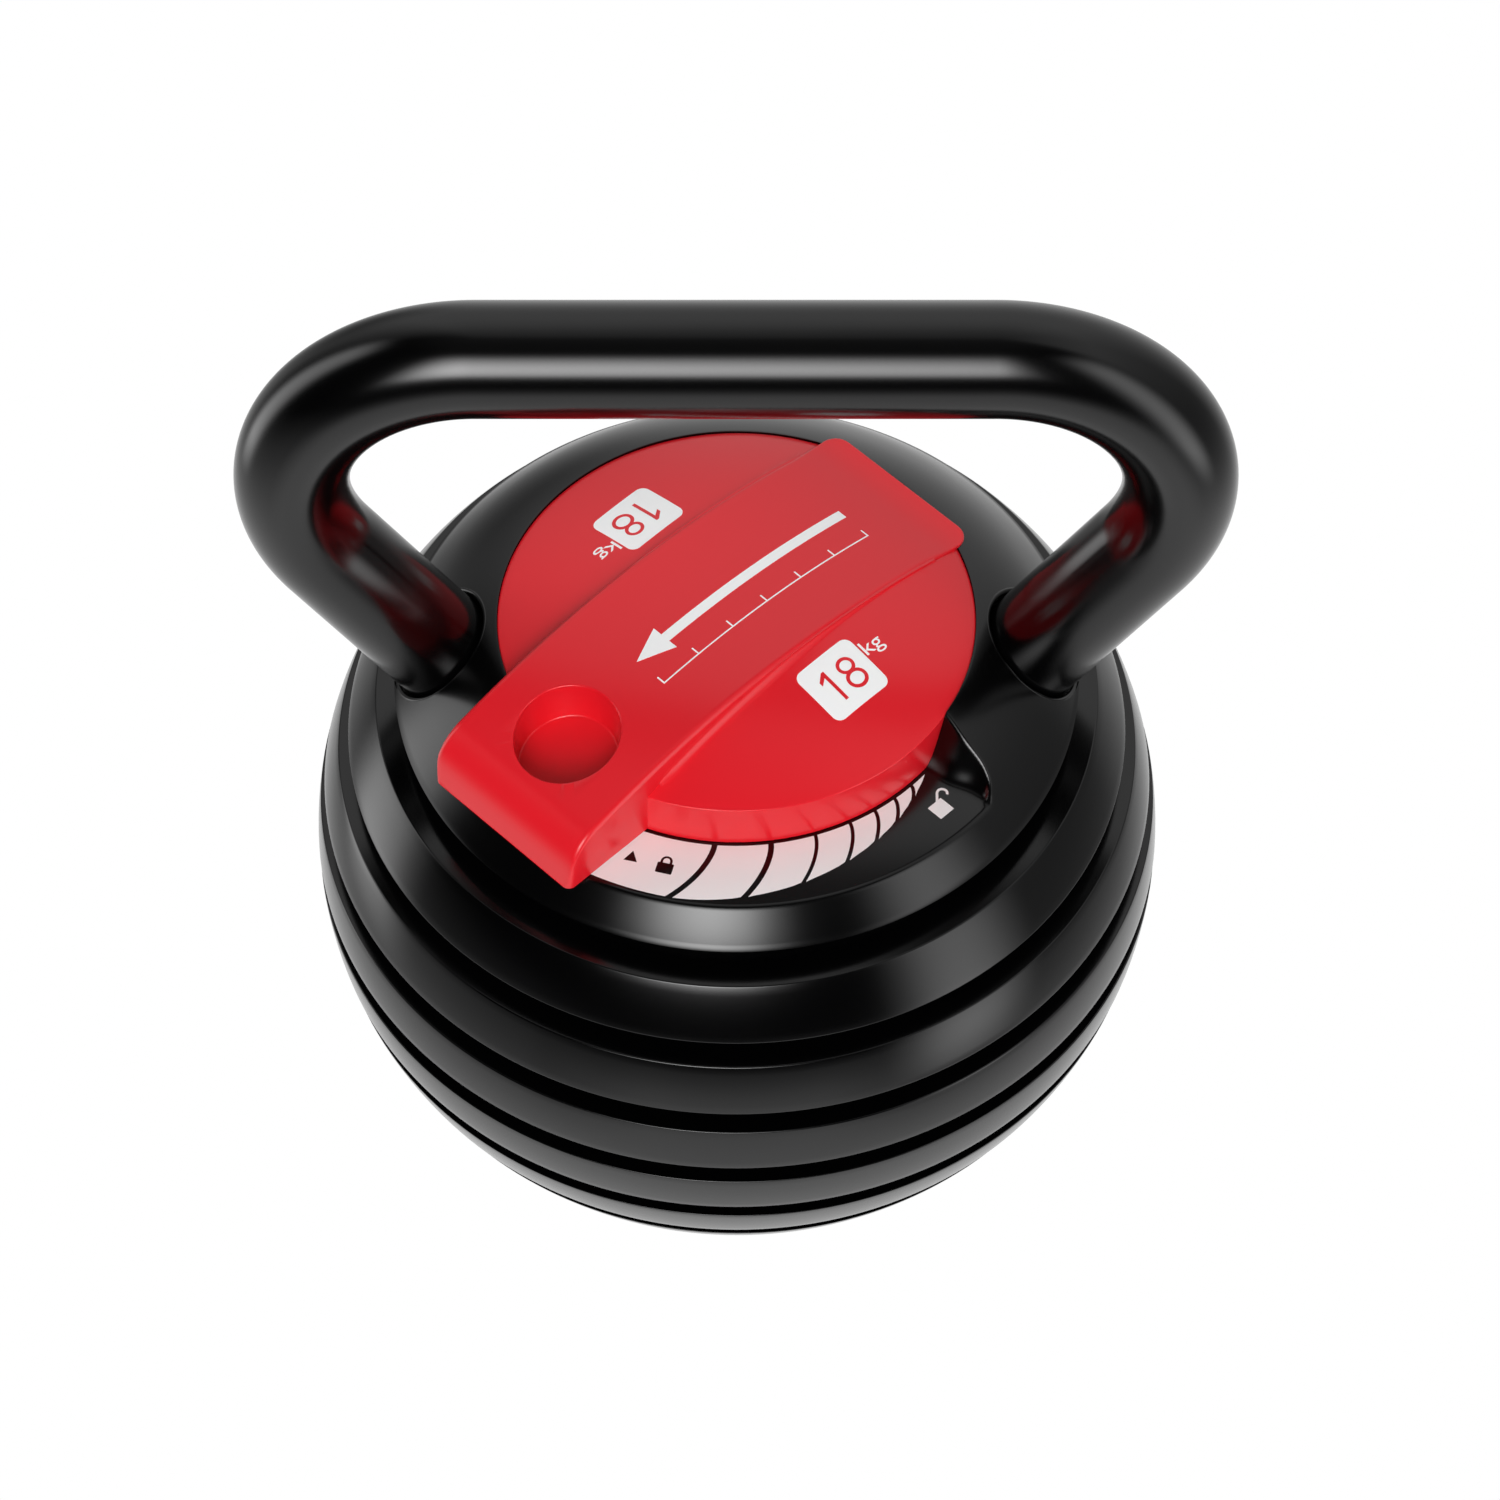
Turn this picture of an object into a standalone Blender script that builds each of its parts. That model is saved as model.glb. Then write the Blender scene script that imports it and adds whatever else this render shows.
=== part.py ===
"""Adjustable kettlebell: a handle unit locked onto six stacked weight plates.

Dimensions are millimetres in this file and become metres as the meshes are made.
The origin is the centre of the base on the floor, +Z is up and the grip runs along X.
Azimuths are degrees from the front (-Y), positive towards +X.
"""
from math import cos, pi, radians, sin, sqrt, tan

import bmesh
import bpy
from mathutils import Matrix, Vector

MM = 0.001
GAP = 0.3                       # space between pieces that touch
PAST = 5.0                      # how far a cutter runs past the faces it cuts

# Ball and stack of plates
BALL_R = 110.2                  # reach of the ball's surface from its centre
BALL_SLIM = 2.4                 # how much less that reach is at the cap's lower edge
BALL_Z = 63.5
SLIM_FROM = -20.2               # height above the ball's centre where the reach is full
PLATES = 6
PITCH = 20.9
FACE_H = 15.0                   # height of a plate's outer face
PLATE_BEVEL = 1.2
PLATE_SIDES = 32                # segments round a plate
RIM_W = 17.0
WEB_T = 4.0
HUB_R = 36.0
NECK_W = 6.0                    # ring on a plate that carries the rim above it
GROOVE = 11.0                   # depth of the gap between two rims
FOOT_H = 1.5                    # how far the rubber ring stands out of the lowest plate
CAP_Z = FOOT_H + PLATES * PITCH

# Cap
CAP_R = 87.3
DOME_R = 107.9
SHOULDER_X = 79.2               # radius where the dome turns into the flatter shoulder
SHOULDER_R = 55.0
RECESS_R = 60.8                 # dial recess
DECK_H = 9.2                    # pocket and recess floor above the cap's lower edge
DECK_Z = CAP_Z + DECK_H
PLATE_SEAT_H = 4.3
PLATE_SEAT_R = 80.6
RIGHT_WALL = 52.4               # azimuth of the pocket's right wall
WALL_LEAN = 26.5
LEFT_WALL_V = 25.6              # distance of the left wall from the dial's axis

# Handle
TUBE_R = 14.2
TUBE_WALL = 3.0
GRIP_Z = 249.8
GRIP_HALF = 62.1
BEND_R = 46.6
LEG_LEAN = 33.0                 # how far each leg leans inwards from the vertical
LEG_FLAT_X = 63.0               # flat on the inner side of each leg's foot
FOOT_Z = CAP_Z + 0.4

# Dial
DIAL_R = 59.85
DIAL_TOP = 97.35 + BALL_Z
DIAL_DOME_R = 158.4
POINTER = -45.0                 # azimuth of the pointer at rest
TRAVEL = 74.0
BAR_HALF = 24.2
BAR_TOP = 98.0 + BALL_Z
BAR_PEAK_U = -13.2
BAR_ARCH_R = 209.0
BAR_END_U = 54.7
NOSE_U = -82.2
DIMPLE_U = -59.0
DIMPLE_R = 13.7
DIMPLE_Z = 84.1 + BALL_Z

# Scale label
LABEL_IN = 61.6
LABEL_OUT = 78.5
LABEL_FROM = -44.0
LABEL_TO = 50.5
LABEL_TAPER = -12.0
LABEL_T = 0.5

# Lock
SHAFT_R = 9.0
LUG_R = 15.0
LUG_HALF = 25.0
LUG_H = 5.0
LUG_ANGLE = 0.0
LEDGE_T = 6.6
BORE_R = 17.0
KEY_R = 10.0
FLANGE_R = 16.0
FLANGE_T = 4.0
FLANGE_Z = DECK_Z + 1.7
BUSH_R = 12.0
BUSH_FLANGE_R = 15.0
COUNTERBORE_R = 17.0
COUNTERBORE_H = 2.6
STOP_R = 45.0
STOP_PIN_R = 3.0
STOP_AT = 127.0                 # polar angle of the stop pin


def material(name, color, roughness, metallic=0.0):
    """A Principled material."""
    made = bpy.data.materials.new(name)
    made.use_nodes = True
    shader = made.node_tree.nodes["Principled BSDF"]
    shader.inputs["Base Color"].default_value = (*color, 1.0)
    shader.inputs["Roughness"].default_value = roughness
    shader.inputs["Metallic"].default_value = metallic
    return made


def finish_mesh(name, bm, look):
    """Turn a bmesh into a named object with its normals out and round faces smooth."""
    bmesh.ops.recalc_face_normals(bm, faces=bm.faces)
    mesh = bpy.data.meshes.new(name)
    bm.to_mesh(mesh)
    bm.free()
    mesh.shade_smooth()
    mesh.set_sharp_from_angle(angle=radians(30))
    if look:
        mesh.materials.append(look)
    made = bpy.data.objects.new(name, mesh)
    bpy.context.scene.collection.objects.link(made)
    return made


def lathe(name, profile, segments, look=None, place=None):
    """Turn a closed (radius, height) profile about Z."""
    bm = bmesh.new()
    verts = [bm.verts.new((r * MM, 0.0, z * MM)) for r, z in profile]
    edges = [bm.edges.new((a, b)) for a, b in zip(verts, verts[1:] + verts[:1])
             if a.co.x > 0.0 or b.co.x > 0.0]
    bmesh.ops.spin(bm, geom=verts + edges, cent=(0, 0, 0), axis=(0, 0, 1), angle=2 * pi,
                   steps=segments, use_merge=True)
    bmesh.ops.remove_doubles(bm, verts=bm.verts, dist=0.001 * MM)
    if place:
        bmesh.ops.transform(bm, matrix=place, verts=bm.verts)
    return finish_mesh(name, bm, look)


def loft(name, low, high, z0, z1, look=None, place=None):
    """Solid between two flat outlines with the same number of points."""
    bm = bmesh.new()
    bottom = [bm.verts.new((x * MM, y * MM, z0 * MM)) for x, y in low]
    top = [bm.verts.new((x * MM, y * MM, z1 * MM)) for x, y in high]
    bm.faces.new(bottom)
    bm.faces.new(top)
    for i, a in enumerate(bottom):
        j = (i + 1) % len(bottom)
        bm.faces.new((a, bottom[j], top[j], top[i]))
    if place:
        bmesh.ops.transform(bm, matrix=place, verts=bm.verts)
    return finish_mesh(name, bm, look)


def prism(name, outline, z0, z1, look=None, place=None):
    """Flat outline pulled up from z0 to z1."""
    return loft(name, outline, outline, z0, z1, look, place)


def polar(radius, degrees):
    """Point at a polar angle from +X."""
    return radius * cos(radians(degrees)), radius * sin(radians(degrees))


def ahead(radius, azimuth):
    """Point at an azimuth from the front."""
    return polar(radius, azimuth - 90)


def arc(radius, start, end, steps):
    """Points on a circle about the origin, in polar degrees."""
    return [polar(radius, start + (end - start) * i / steps) for i in range(steps + 1)]


def combine(target, tool, operation):
    """Boolean modifier; the tool stays in the file as a hidden wire."""
    step = target.modifiers.new(operation.lower(), "BOOLEAN")
    step.operation = operation
    step.solver = "EXACT"
    step.object = tool
    tool.hide_render = True
    tool.display_type = "WIRE"


def along(start, direction):
    """Matrix that takes +Z to a direction, from a start point in millimetres."""
    turn = Vector((0, 0, 1)).rotation_difference(Vector(direction)).to_matrix().to_4x4()
    return Matrix.Translation(Vector(start) * MM) @ turn


def moved(x, y):
    """Sideways shift in millimetres."""
    return Matrix.Translation(Vector((x, y, 0)) * MM)


def ball_radius(z):
    """Radius of the ball's outline at a height above the floor."""
    up = z - BALL_Z
    reach = BALL_R - BALL_SLIM * ((up - SLIM_FROM) / (CAP_Z - BALL_Z - SLIM_FROM)) ** 2
    return sqrt(reach * reach - up * up)


def plate_floor(level):
    """Height of a plate's underside; level 1 is the top plate."""
    return FOOT_H + (PLATES - level) * PITCH


def plate_low_radius(level):
    """Radius of a plate's lower edge; level 0 is the cap."""
    return ball_radius(plate_floor(level)) if level else CAP_R


def sectors(radius, inner, half, turn):
    """Outline of two opposite wings about a core."""
    near = arc(radius, turn - half, turn + half, 5)
    far = arc(radius, turn + 180 - half, turn + 180 + half, 5)
    core = arc(inner, turn + half, turn + 180 - half, 3)
    back = arc(inner, turn + 180 + half, turn + 360 - half, 3)
    return near + core + far + back


def weight_plate(level, look):
    """Cast plate: rim with the ball's outline, thin web, neck ring and keyed hub."""
    floor = plate_floor(level)
    top = floor + FACE_H
    stack_top = floor + PITCH - GAP
    neck = min(plate_low_radius(level - 1), ball_radius(top)) - GROOVE
    rim_in = plate_low_radius(level) - RIM_W
    edge = top - PLATE_BEVEL
    profile = [
        (plate_low_radius(level), floor),
        (ball_radius(floor + FACE_H / 2), floor + FACE_H / 2),
        (ball_radius(edge), edge),
        (ball_radius(top) - PLATE_BEVEL, top),
        (neck, top), (neck, stack_top), (neck - NECK_W, stack_top), (neck - NECK_W, top),
        (HUB_R, top), (HUB_R, stack_top),
        (KEY_R, stack_top), (KEY_R, stack_top - LEDGE_T),
        (BORE_R, stack_top - LEDGE_T), (BORE_R, floor),
        (HUB_R, floor), (HUB_R, top - WEB_T),
        (rim_in, top - WEB_T), (rim_in, floor),
    ]
    made = lathe("plate_%d" % level, profile, PLATE_SIDES, look)
    key = sectors(LUG_R + 0.6, KEY_R - 4, LUG_HALF + 5, LUG_ANGLE + TRAVEL)
    ledge = stack_top - LEDGE_T
    combine(made, prism("key_cut_%d" % level, key, ledge - 1, stack_top + 1), "DIFFERENCE")
    return made


def foot_ring(bottom_plate, look):
    """Rubber ring pressed into the lowest plate's underside."""
    middle = plate_low_radius(PLATES) - RIM_W / 2
    half, depth = 4.0, 1.7
    groove = [(middle + half + GAP, FOOT_H - 1), (middle + half + GAP, FOOT_H + depth + GAP),
              (middle - half - GAP, FOOT_H + depth + GAP), (middle - half - GAP, FOOT_H - 1)]
    combine(bottom_plate, lathe("foot_groove", groove, PLATE_SIDES), "DIFFERENCE")
    soft = 0.6
    ring = [(middle + half, soft), (middle + half, FOOT_H + depth), (middle - half, FOOT_H + depth),
            (middle - half, soft), (middle - half + soft, 0), (middle + half - soft, 0)]
    return lathe("foot_ring", ring, PLATE_SIDES, look)


def dome_profile():
    """Cap's outer outline from its lower edge up to the dial recess."""
    rise = CAP_Z - BALL_Z
    base = sqrt(DOME_R ** 2 - rise ** 2)
    points = [(CAP_R, CAP_Z)]
    for i in range(1, 4):
        r = base + (SHOULDER_X - base) * i / 3
        points.append((r, BALL_Z + sqrt(DOME_R ** 2 - r * r)))
    shrink = 1 - SHOULDER_R / DOME_R
    centre_r = SHOULDER_X * shrink
    centre_z = BALL_Z + sqrt(DOME_R ** 2 - SHOULDER_X ** 2) * shrink
    for i in range(1, 5):
        r = SHOULDER_X + (RECESS_R - SHOULDER_X) * i / 4
        points.append((r, centre_z + sqrt(SHOULDER_R ** 2 - (r - centre_r) ** 2)))
    return points


def leg_axis():
    """Foot end of the right leg's axis and the direction up along it."""
    lean = radians(LEG_LEAN)
    bend_end_x = GRIP_HALF + BEND_R * cos(lean)
    bend_end_z = GRIP_Z - BEND_R - BEND_R * sin(lean)
    down = (bend_end_z - FOOT_Z + PAST) / cos(lean)
    foot = (bend_end_x - down * sin(lean), 0.0, FOOT_Z - PAST)
    return foot, (sin(lean), 0.0, cos(lean)), down


def leg_cutter(side, grow):
    """D-shaped space round a leg's foot."""
    foot, up, _ = leg_axis()
    start = (foot[0] * side, 0.0, foot[2])
    reach = 60.0
    start = tuple(s - PAST * 2 * d for s, d in zip(start, (up[0] * side, 0.0, up[2])))
    bm = bmesh.new()
    bmesh.ops.create_cone(bm, cap_ends=True, segments=32, radius1=(TUBE_R + grow) * MM,
                          radius2=(TUBE_R + grow) * MM, depth=reach * MM)
    bmesh.ops.translate(bm, vec=(0, 0, reach / 2 * MM), verts=bm.verts)
    bmesh.ops.transform(bm, matrix=along(start, (up[0] * side, 0.0, up[2])), verts=bm.verts)
    flat = (LEG_FLAT_X - grow) * MM * side
    cut = bmesh.ops.bisect_plane(bm, geom=bm.verts[:] + bm.edges[:] + bm.faces[:],
                                 plane_co=(flat, 0, 0), plane_no=(-side, 0, 0), clear_outer=True)
    rim = [e for e in cut["geom_cut"] if isinstance(e, bmesh.types.BMEdge)]
    bmesh.ops.holes_fill(bm, edges=rim)
    return finish_mesh("leg_space_%s" % ("right" if side > 0 else "left"), bm, None)


def handle_path():
    """Centreline of the handle, from the left foot to the right foot, in its own plane."""
    foot, _, _ = leg_axis()
    half = []
    steps = 9
    for i in range(steps + 1):
        turn = radians(90 - (90 + LEG_LEAN) * i / steps)
        half.append((GRIP_HALF + BEND_R * cos(turn), GRIP_Z - BEND_R + BEND_R * sin(turn)))
    half.append((foot[0], foot[2]))
    return [(-x, z) for x, z in reversed(half)] + half


def sweep(name, path, radius, sides, look=None):
    """Round bar along a path in the XZ plane, cut square at both ends."""
    bm = bmesh.new()
    rings = []
    for i, (x, z) in enumerate(path):
        before = Vector(path[max(i - 1, 0)])
        after = Vector(path[min(i + 1, len(path) - 1)])
        here = Vector((x, z))
        back = (here - before).normalized() if i else (after - here).normalized()
        on = (after - here).normalized() if i < len(path) - 1 else back
        tangent = (back + on).normalized()
        out = Vector((tangent.y, -tangent.x)) / max(tangent.dot(on), 0.5)
        ring = []
        for k in range(sides):
            turn = 2 * pi * k / sides
            offset = out * radius * cos(turn)
            ring.append(bm.verts.new(((x + offset.x) * MM, radius * sin(turn) * MM, (z + offset.y) * MM)))
        rings.append(ring)
    for low, high in zip(rings, rings[1:]):
        for k in range(sides):
            j = (k + 1) % sides
            bm.faces.new((low[k], low[j], high[j], high[k]))
    bm.faces.new(rings[0])
    bm.faces.new(rings[-1])
    return finish_mesh(name, bm, look)


def handle_tube(look):
    """Bent tube with a straight grip and two inward legs, flat where the feet meet the cap."""
    path = handle_path()
    made = sweep("handle_tube", path, TUBE_R, 24, look)
    combine(made, sweep("tube_bore", extended(path), TUBE_R - TUBE_WALL, 16), "DIFFERENCE")
    wide = 130.0
    under = [(-wide, -30), (wide, -30), (wide, 30), (-wide, 30)]
    between = [(-LEG_FLAT_X, -30), (LEG_FLAT_X, -30), (LEG_FLAT_X, 30), (-LEG_FLAT_X, 30)]
    combine(made, prism("feet_cut", under, FOOT_Z - 60, FOOT_Z), "DIFFERENCE")
    combine(made, prism("flats_cut", between, FOOT_Z - 30, FOOT_Z + 22), "DIFFERENCE")
    return made


def extended(path):
    """The same path with both ends pulled out, so a cutter runs past the faces."""
    def beyond(end, inner):
        return tuple(e + (e - i) * PAST * 2 / (Vector(end) - Vector(inner)).length
                     for e, i in zip(end, inner))
    return [beyond(path[0], path[1])] + path[1:-1] + [beyond(path[-1], path[-2])]


def bar_frame():
    """Matrix from the dial bar's own axes: its length runs from the pointer to the far end."""
    return Matrix.Rotation(radians(POINTER + 90), 4, "Z")


def label_outline(grow):
    """Crescent that narrows clockwise, as a closed outline."""
    outer = []
    steps = 18
    for i in range(steps + 1):
        azimuth = LABEL_FROM + (LABEL_TO - LABEL_FROM) * i / steps
        taper = max(0.0, (azimuth - LABEL_TAPER) / (LABEL_TO - LABEL_TAPER))
        radius = LABEL_OUT - (LABEL_OUT - LABEL_IN - 0.6) * taper ** 1.5
        outer.append(ahead(radius + grow, azimuth + grow * (i / steps - 0.5)))
    inner = [ahead(LABEL_IN - grow, LABEL_TO + grow / 2 + (LABEL_FROM - LABEL_TO - grow) * i / 12)
             for i in range(13)]
    return outer + inner


def pocket_cutter():
    """Front pocket: straight left wall beside the pointer, leaning right wall."""
    turn = bar_frame()
    near = turn @ Vector((-20, LEFT_WALL_V, 0))
    far = turn @ Vector((-120, LEFT_WALL_V, 0))
    height = 30.0
    wall = [Vector(ahead(r, RIGHT_WALL)) for r in (130, 20)]
    out = Vector(polar(height * tan(radians(WALL_LEAN)), RIGHT_WALL))
    front = [ahead(150, azimuth) for azimuth in (-30, 0, 30)]
    low = [tuple(near[:2]), tuple(far[:2])] + front + [tuple(p) for p in wall]
    high = [tuple(near[:2]), tuple(far[:2])] + front + [tuple(p + out) for p in wall]
    return loft("pocket_cut", low, high, DECK_Z, DECK_Z + height)


def screw(name, head_r, shank_r, length, z, grow, look=None, place=None):
    """Countersunk screw pointing up from z, or with some growth the hole for it."""
    cone = head_r - shank_r
    low = z - grow * 3
    profile = [(0, z + 1.2), (head_r / 3, z + 1.2), (head_r / 3, z)] if not grow else [(0, low)]
    if grow:
        profile.append((head_r + grow, low))
    profile += [(head_r + grow, z), (shank_r + grow, z + cone), (shank_r + grow, z + length + grow),
                (0, z + length + grow)]
    return lathe(name, profile, 12, look, place)


def bearing_screw_places():
    """Where the four screws through the bearing plate sit."""
    return [moved(*polar(68.0, 45 + 90 * i)) for i in range(4)]


def dial_screw_places():
    """Where the three screws through the shaft's flange sit."""
    return [moved(*polar(12.5, 15 + 120 * i)) for i in range(3)]


def top_cap(look):
    """Domed cap with the dial recess, the pointer's pocket and the legs' sockets."""
    seat = CAP_Z + PLATE_SEAT_H
    bore = BUSH_R + GAP
    profile = [(bore, seat), (bore, DECK_Z), (RECESS_R, DECK_Z)]
    profile += list(reversed(dome_profile()))
    profile += [(PLATE_SEAT_R, CAP_Z), (PLATE_SEAT_R, seat)]
    made = lathe("top_cap", profile, 48, look)
    combine(made, pocket_cutter(), "DIFFERENCE")
    combine(made, prism("label_seat", label_outline(GAP), DECK_Z - LABEL_T - GAP, DECK_Z + PAST),
            "DIFFERENCE")
    for side in (-1, 1):
        combine(made, leg_cutter(side, 0.4), "DIFFERENCE")
    for i, place in enumerate(bearing_screw_places()):
        hole = screw("cap_hole_%d" % i, 4.0, 2.0, 7.8, CAP_Z + 0.2, GAP, place=place)
        combine(made, hole, "DIFFERENCE")
    rod = [(0, seat - PAST), (STOP_PIN_R + GAP, seat - PAST), (STOP_PIN_R + GAP, DECK_Z + PAST),
           (0, DECK_Z + PAST)]
    spot = moved(*polar(STOP_R, STOP_AT))
    combine(made, lathe("pin_hole", rod, 16, place=spot), "DIFFERENCE")
    return made


def bearing_plate(look):
    """Steel disc let into the cap's underside; the legs are welded into its notches."""
    top = CAP_Z + PLATE_SEAT_H - GAP
    ceiling = CAP_Z + COUNTERBORE_H
    edge = PLATE_SEAT_R - GAP
    profile = [(edge, top), (edge, CAP_Z), (COUNTERBORE_R, CAP_Z), (COUNTERBORE_R, ceiling),
               (BUSH_R + GAP, ceiling), (BUSH_R + GAP, top)]
    made = lathe("bearing_plate", profile, 36, look)
    for side in (-1, 1):
        combine(made, bpy.data.objects["leg_space_%s" % ("right" if side > 0 else "left")], "DIFFERENCE")
    for i, place in enumerate(bearing_screw_places()):
        hole = screw("plate_hole_%d" % i, 4.0, 2.0, 7.8, CAP_Z + 0.2, GAP, place=place)
        combine(made, hole, "DIFFERENCE")
    return made


def scale_label(look):
    """Thin crescent label let into the pocket's floor."""
    return prism("scale_label", label_outline(0), DECK_Z - LABEL_T, DECK_Z, look)


def bar_outline():
    """Side view of the dial's bar, from the pointer's foot round to the far end."""
    low = DECK_Z + GAP
    nose = [(NOSE_U, low), (-81.0, BALL_Z + 81.7), (-80.2, BALL_Z + 85.5), (-78.7, BALL_Z + 87.7),
            (-75.9, BALL_Z + 89.0)]
    top = []
    for i in range(11):
        u = -67.0 + (BAR_END_U + 67.0) * i / 10
        top.append((u, BAR_TOP - (u - BAR_PEAK_U) ** 2 / (2 * BAR_ARCH_R)))
    return nose + top + [(BAR_END_U, low + 8), (-30.0, low + 8), (-30.0, low)]


def lock_dial(look):
    """Red domed disc with the raised bar; the bar's near end is the pointer."""
    low = DECK_Z + GAP
    rim = [(DIAL_R + 0.4, low)]
    rim += [(DIAL_R * (1 - i / 5), DIAL_TOP - (DIAL_R * (1 - i / 5)) ** 2 / (2 * DIAL_DOME_R))
            for i in range(6)]
    boss = FLANGE_Z + FLANGE_T + GAP
    under = [(0, boss), (20, boss), (20, low + 10), (38, low + 10), (38, low)]
    made = lathe("lock_dial", rim + under, 48, look)
    outline = bar_outline()
    bar = bmesh.new()
    sides = [[bar.verts.new((u * MM, v * MM, z * MM)) for u, z in outline]
             for v in (-BAR_HALF, BAR_HALF)]
    for side in sides:
        bar.faces.new(side)
    for i in range(len(outline)):
        j = (i + 1) % len(outline)
        bar.faces.new((sides[0][i], sides[0][j], sides[1][j], sides[1][i]))
    bmesh.ops.transform(bar, matrix=bar_frame(), verts=bar.verts)
    combine(made, finish_mesh("bar", bar, None), "UNION")
    dimple = [(0, DIMPLE_Z), (DIMPLE_R, DIMPLE_Z), (DIMPLE_R, DIMPLE_Z + 20), (0, DIMPLE_Z + 20)]
    place = moved(*polar(DIMPLE_U, POINTER + 90))
    combine(made, lathe("dimple_cut", dimple, 24, place=place), "DIFFERENCE")
    clear = 4.4
    inner = STOP_R - STOP_PIN_R - 0.5
    outer = STOP_R + STOP_PIN_R + 0.5
    track = arc(outer, STOP_AT - TRAVEL - clear, STOP_AT + clear, 10)
    track += arc(inner, STOP_AT + clear, STOP_AT - TRAVEL - clear, 10)
    combine(made, prism("stop_track", track, low - PAST, low + 4.2), "DIFFERENCE")
    for i, place in enumerate(dial_screw_places()):
        hole = screw("dial_hole_%d" % i, 2.7, 1.5, 12.0, FLANGE_Z + 0.1, GAP, place=place)
        combine(made, hole, "DIFFERENCE")
    return made


def lock_shaft(look):
    """Shaft with a flange under the dial and a pair of lugs below each plate's ledge."""
    end = plate_floor(PLATES) + 7.0
    top = FLANGE_Z + FLANGE_T
    groove_low, groove_high = CAP_Z + 0.2, CAP_Z + 1.7
    profile = [(0, end), (SHAFT_R - 1, end), (SHAFT_R, end + 1), (SHAFT_R, groove_low),
               (SHAFT_R - 1, groove_low), (SHAFT_R - 1, groove_high), (SHAFT_R, groove_high),
               (SHAFT_R, FLANGE_Z), (FLANGE_R, FLANGE_Z), (FLANGE_R, top), (0, top)]
    made = lathe("lock_shaft", profile, 24, look)
    for level in range(1, PLATES + 1):
        lug_top = plate_floor(level) + PITCH - GAP - LEDGE_T - 0.4
        wings = sectors(LUG_R, SHAFT_R - 3, LUG_HALF, LUG_ANGLE)
        lugs = prism("lugs_%d" % level, wings, lug_top - LUG_H, lug_top)
        combine(made, lugs, "UNION")
    for i, place in enumerate(dial_screw_places()):
        hole = screw("flange_hole_%d" % i, 2.7, 1.5, 12.0, FLANGE_Z + 0.1, GAP, place=place)
        combine(made, hole, "DIFFERENCE")
    return made


def shaft_bush(look):
    """Flanged bush that the shaft turns in and its flange rests on."""
    inner = SHAFT_R + 0.1
    low = CAP_Z + COUNTERBORE_H + GAP
    flange = DECK_Z + 1.4
    profile = [(inner, low), (BUSH_R, low), (BUSH_R, DECK_Z + 0.1), (BUSH_FLANGE_R, DECK_Z + 0.1),
               (BUSH_FLANGE_R, flange), (inner, flange)]
    return lathe("shaft_bush", profile, 32, look)


def wave_washer(look):
    """Spring washer with three waves."""
    middle = CAP_Z + 2.0
    made = lathe("wave_washer", [(SHAFT_R + 0.4, middle - 0.2), (15.5, middle - 0.2),
                                 (15.5, middle + 0.2), (SHAFT_R + 0.4, middle + 0.2)], 36, look)
    for vert in made.data.vertices:
        turn = Vector((1, 0)).angle_signed(Vector(vert.co[:2]))
        vert.co.z += 0.1 * cos(3 * turn) * MM
    return made


def retaining_ring(look):
    """Open ring in the shaft's groove."""
    outline = arc(14.0, 20, 340, 20) + arc(SHAFT_R - 1 + GAP, 340, 20, 20)
    return prism("retaining_ring", outline, CAP_Z + 0.5, CAP_Z + 1.4, look)


def stop_pin(look):
    """Pin in the cap's deck that ends the dial's travel."""
    low = CAP_Z + PLATE_SEAT_H
    high = DECK_Z + 4.0
    profile = [(0, low), (STOP_PIN_R, low), (STOP_PIN_R, high - 0.5), (STOP_PIN_R - 0.5, high),
               (0, high)]
    return lathe("stop_pin", profile, 16, look, moved(*polar(STOP_R, STOP_AT)))


def build():
    """Make every piece."""
    for old in list(bpy.data.objects):
        bpy.data.objects.remove(old, do_unlink=True)
    black = material("satin_black", (0.012, 0.012, 0.013), 0.38)
    iron = material("black_cast_iron", (0.010, 0.010, 0.011), 0.42)
    coat = material("black_tube_coating", (0.014, 0.014, 0.015), 0.35)
    red = material("red_plastic", (0.45, 0.012, 0.018), 0.32)
    white = material("white_print", (0.78, 0.78, 0.78), 0.5)
    steel = material("steel", (0.55, 0.55, 0.56), 0.3, 1.0)
    brass = material("sintered_bronze", (0.55, 0.38, 0.16), 0.4, 1.0)
    rubber = material("rubber", (0.015, 0.015, 0.015), 0.8)

    plates = [weight_plate(level, iron) for level in range(1, PLATES + 1)]
    foot_ring(plates[-1], rubber)
    handle_tube(coat)
    top_cap(black)
    bearing_plate(steel)
    scale_label(white)
    lock_dial(red)
    lock_shaft(steel)
    shaft_bush(brass)
    wave_washer(steel)
    retaining_ring(steel)
    stop_pin(steel)
    for i, place in enumerate(bearing_screw_places()):
        screw("bearing_screw_%d" % (i + 1), 4.0, 2.0, 7.8, CAP_Z + 0.2, 0, steel, place)
    for i, place in enumerate(dial_screw_places()):
        screw("dial_screw_%d" % (i + 1), 2.7, 1.5, 12.0, FLANGE_Z + 0.1, 0, steel, place)


build()
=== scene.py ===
"""Looks of the adjustable kettlebell: smooth shells round the CAD frame, materials, lights and camera.

Lengths in this file are millimetres and become metres as the meshes are made.
Azimuths are degrees from the front (-Y), positive towards +X.
"""
from math import asin, atan, cos, degrees, hypot, pi, radians, sin, sqrt, tan

import bmesh
import bpy
from mathutils import Matrix, Vector


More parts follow.
